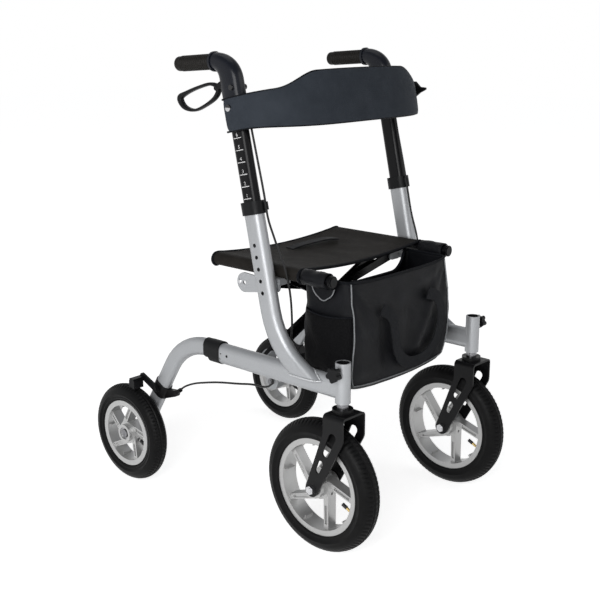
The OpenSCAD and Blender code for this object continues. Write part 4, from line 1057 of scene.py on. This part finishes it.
# Backrest. A padded band of charcoal cloth, bowed round the front and higher in the
# middle, with a sewn hem along both edges; it is bolted outside each elbow.
band_cloth = new_finish("band_cloth", (0.043, 0.050, 0.062), 0.60, 0.0, 0.05)
tint(band_cloth, 0.04, (0.038, 0.045, 0.056), (0.048, 0.056, 0.069))
weave(band_cloth, 0.0009, 0.00015)
BAND_HALF = 0.2865
BAND_BOW = 0.1555
BAND_END = 0.014
BAND_CURVE = 2 / 2.6


def band_spots():
    """Places along the band in plan, from the right rear end round the front to the left rear end."""
    half = [(BAND_HALF, BAND_END), (BAND_HALF, 0.0)]
    for a in (2, 5, 9, 13, 18, 23, 28, 33, 38, 43, 48, 53, 58, 63, 68, 73, 78, 83, 87):
        c, s = math.cos(math.radians(a)), math.sin(math.radians(a))
        half.append((BAND_HALF * c ** BAND_CURVE, -BAND_BOW * s ** BAND_CURVE))
    return [(-x, y) for x, y in half] + [(0.0, -BAND_BOW)] + list(reversed(half))


def band_rise(x):
    """How far the band has widened at a distance from the middle, from 0 at its ends to 1."""
    t = min(1.0, max(0.0, (0.242 - abs(x)) / 0.094))
    return t * t * (3 - 2 * t)


def band_top(x):
    """Height of the band's top edge, up along the masts."""
    return 0.256 + 0.028 * band_rise(x)


def band_low(x):
    """Height of the band's bottom edge, up along the masts."""
    return 0.165 + 0.018 * (x / BAND_HALF) ** 4


bm = bmesh.new()
loops = []
spots = band_spots()
for k, (x, y) in enumerate(spots):
    before, after = spots[max(k - 1, 0)], spots[min(k + 1, len(spots) - 1)]
    along = Vector((after[0] - before[0], after[1] - before[1], 0)).normalized()
    out = Vector((along.y, -along.x, 0))
    top, low = band_top(x), band_low(x)
    end = min(k, len(spots) - 1 - k)
    pad = 0.0034 + (0.0022 if end > 0 else 0.0)
    middle, half = (top + low) / 2, (top - low) / 2
    ring = []
    for m in range(20):
        a = math.tau * m / 20
        c, s = math.cos(a), math.sin(a)
        rise = half * math.copysign(abs(s) ** 0.35, s)
        swell = pad * math.copysign(abs(c) ** 0.55, c) * (1 - 0.25 * abs(s))
        ring.append(bm.verts.new(Vector((x, y, middle + rise)) + out * swell))
    loops.append([bm.edges.new((ring[m], ring[(m + 1) % 20])) for m in range(20)])
for one, two in zip(loops, loops[1:]):
    bmesh.ops.bridge_loops(bm, edges=one + two)
for rim_edges in (loops[0], loops[-1]):
    bmesh.ops.holes_fill(bm, edges=rim_edges, sides=20)
lean_to_mast(bm, 0)
bmesh.ops.recalc_face_normals(bm, faces=bm.faces)
band = new_object("backrest_band", bm, [band_cloth], 60)
soften = band.modifiers.new("soften", "SUBSURF")
soften.levels = soften.render_levels = 1


def band_point(x, y, z):
    """A point given in the masts' lean, in the part's frame."""
    lifted = on_mast(0, y, z)
    return Vector((x, lifted.y, lifted.z))


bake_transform(band)
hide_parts("backrest_right", "backrest_left")
for hem_name, drop in (("top", True), ("bottom", False)):
    line = [band_point(x * 1.003, y, band_top(x) - 0.0015 if drop else band_low(x) + 0.0015)
            for x, y in spots]
    piece = tube("band_hem_" + hem_name, line, 0.0022, binding, 8)
    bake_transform(piece)


# Clip. A small moulded snap hook on the outside of the band's left end, black like the
# levers; the boss behind its plate is riveted through the cloth and its hook points forward.
def drawn_out(bm, faces, scale, move):
    """Extrudes faces into a step of another size and gives back its vertices."""
    grown = bmesh.ops.extrude_face_region(bm, geom=faces)["geom"]
    step = [g for g in grown if isinstance(g, bmesh.types.BMVert)]
    bmesh.ops.scale(bm, verts=step, vec=scale)
    bmesh.ops.translate(bm, verts=step, vec=move)
    bmesh.ops.delete(bm, geom=faces, context="FACES")
    return step


bm = bmesh.new()
bmesh.ops.create_cube(bm, size=1.0, matrix=Matrix.Diagonal((0.008, 0.015, 0.038, 1)))
front = [f for f in bm.faces if f.normal.y < -0.9]
tip = drawn_out(bm, front, (0.8, 1, 0.38), (0.001, -0.014, -0.001))
front = [f for f in bm.faces if all(v in tip for v in f.verts)]
drawn_out(bm, front, (0.8, 1, 0.35), (0.002, -0.016, 0.003))
inner = [f for f in bm.faces if f.normal.x < -0.9 and f.calc_center_median().y > -0.009]
drawn_out(bm, inner, (1, 0.7, 0.5), (-0.016, 0, 0))
bmesh.ops.bevel(bm, geom=bm.edges, offset=0.0012, affect="EDGES", segments=3, profile=0.5, material=-1)
bmesh.ops.translate(bm, verts=bm.verts, vec=(0.2925, -0.1195, 0.9890))
bmesh.ops.recalc_face_normals(bm, faces=bm.faces)
clip = new_object("band_clip", bm, [moulded])
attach(clip, "backrest_left")


# Size. The box round every shown piece, the floor left out, is found in metres.
low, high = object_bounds()
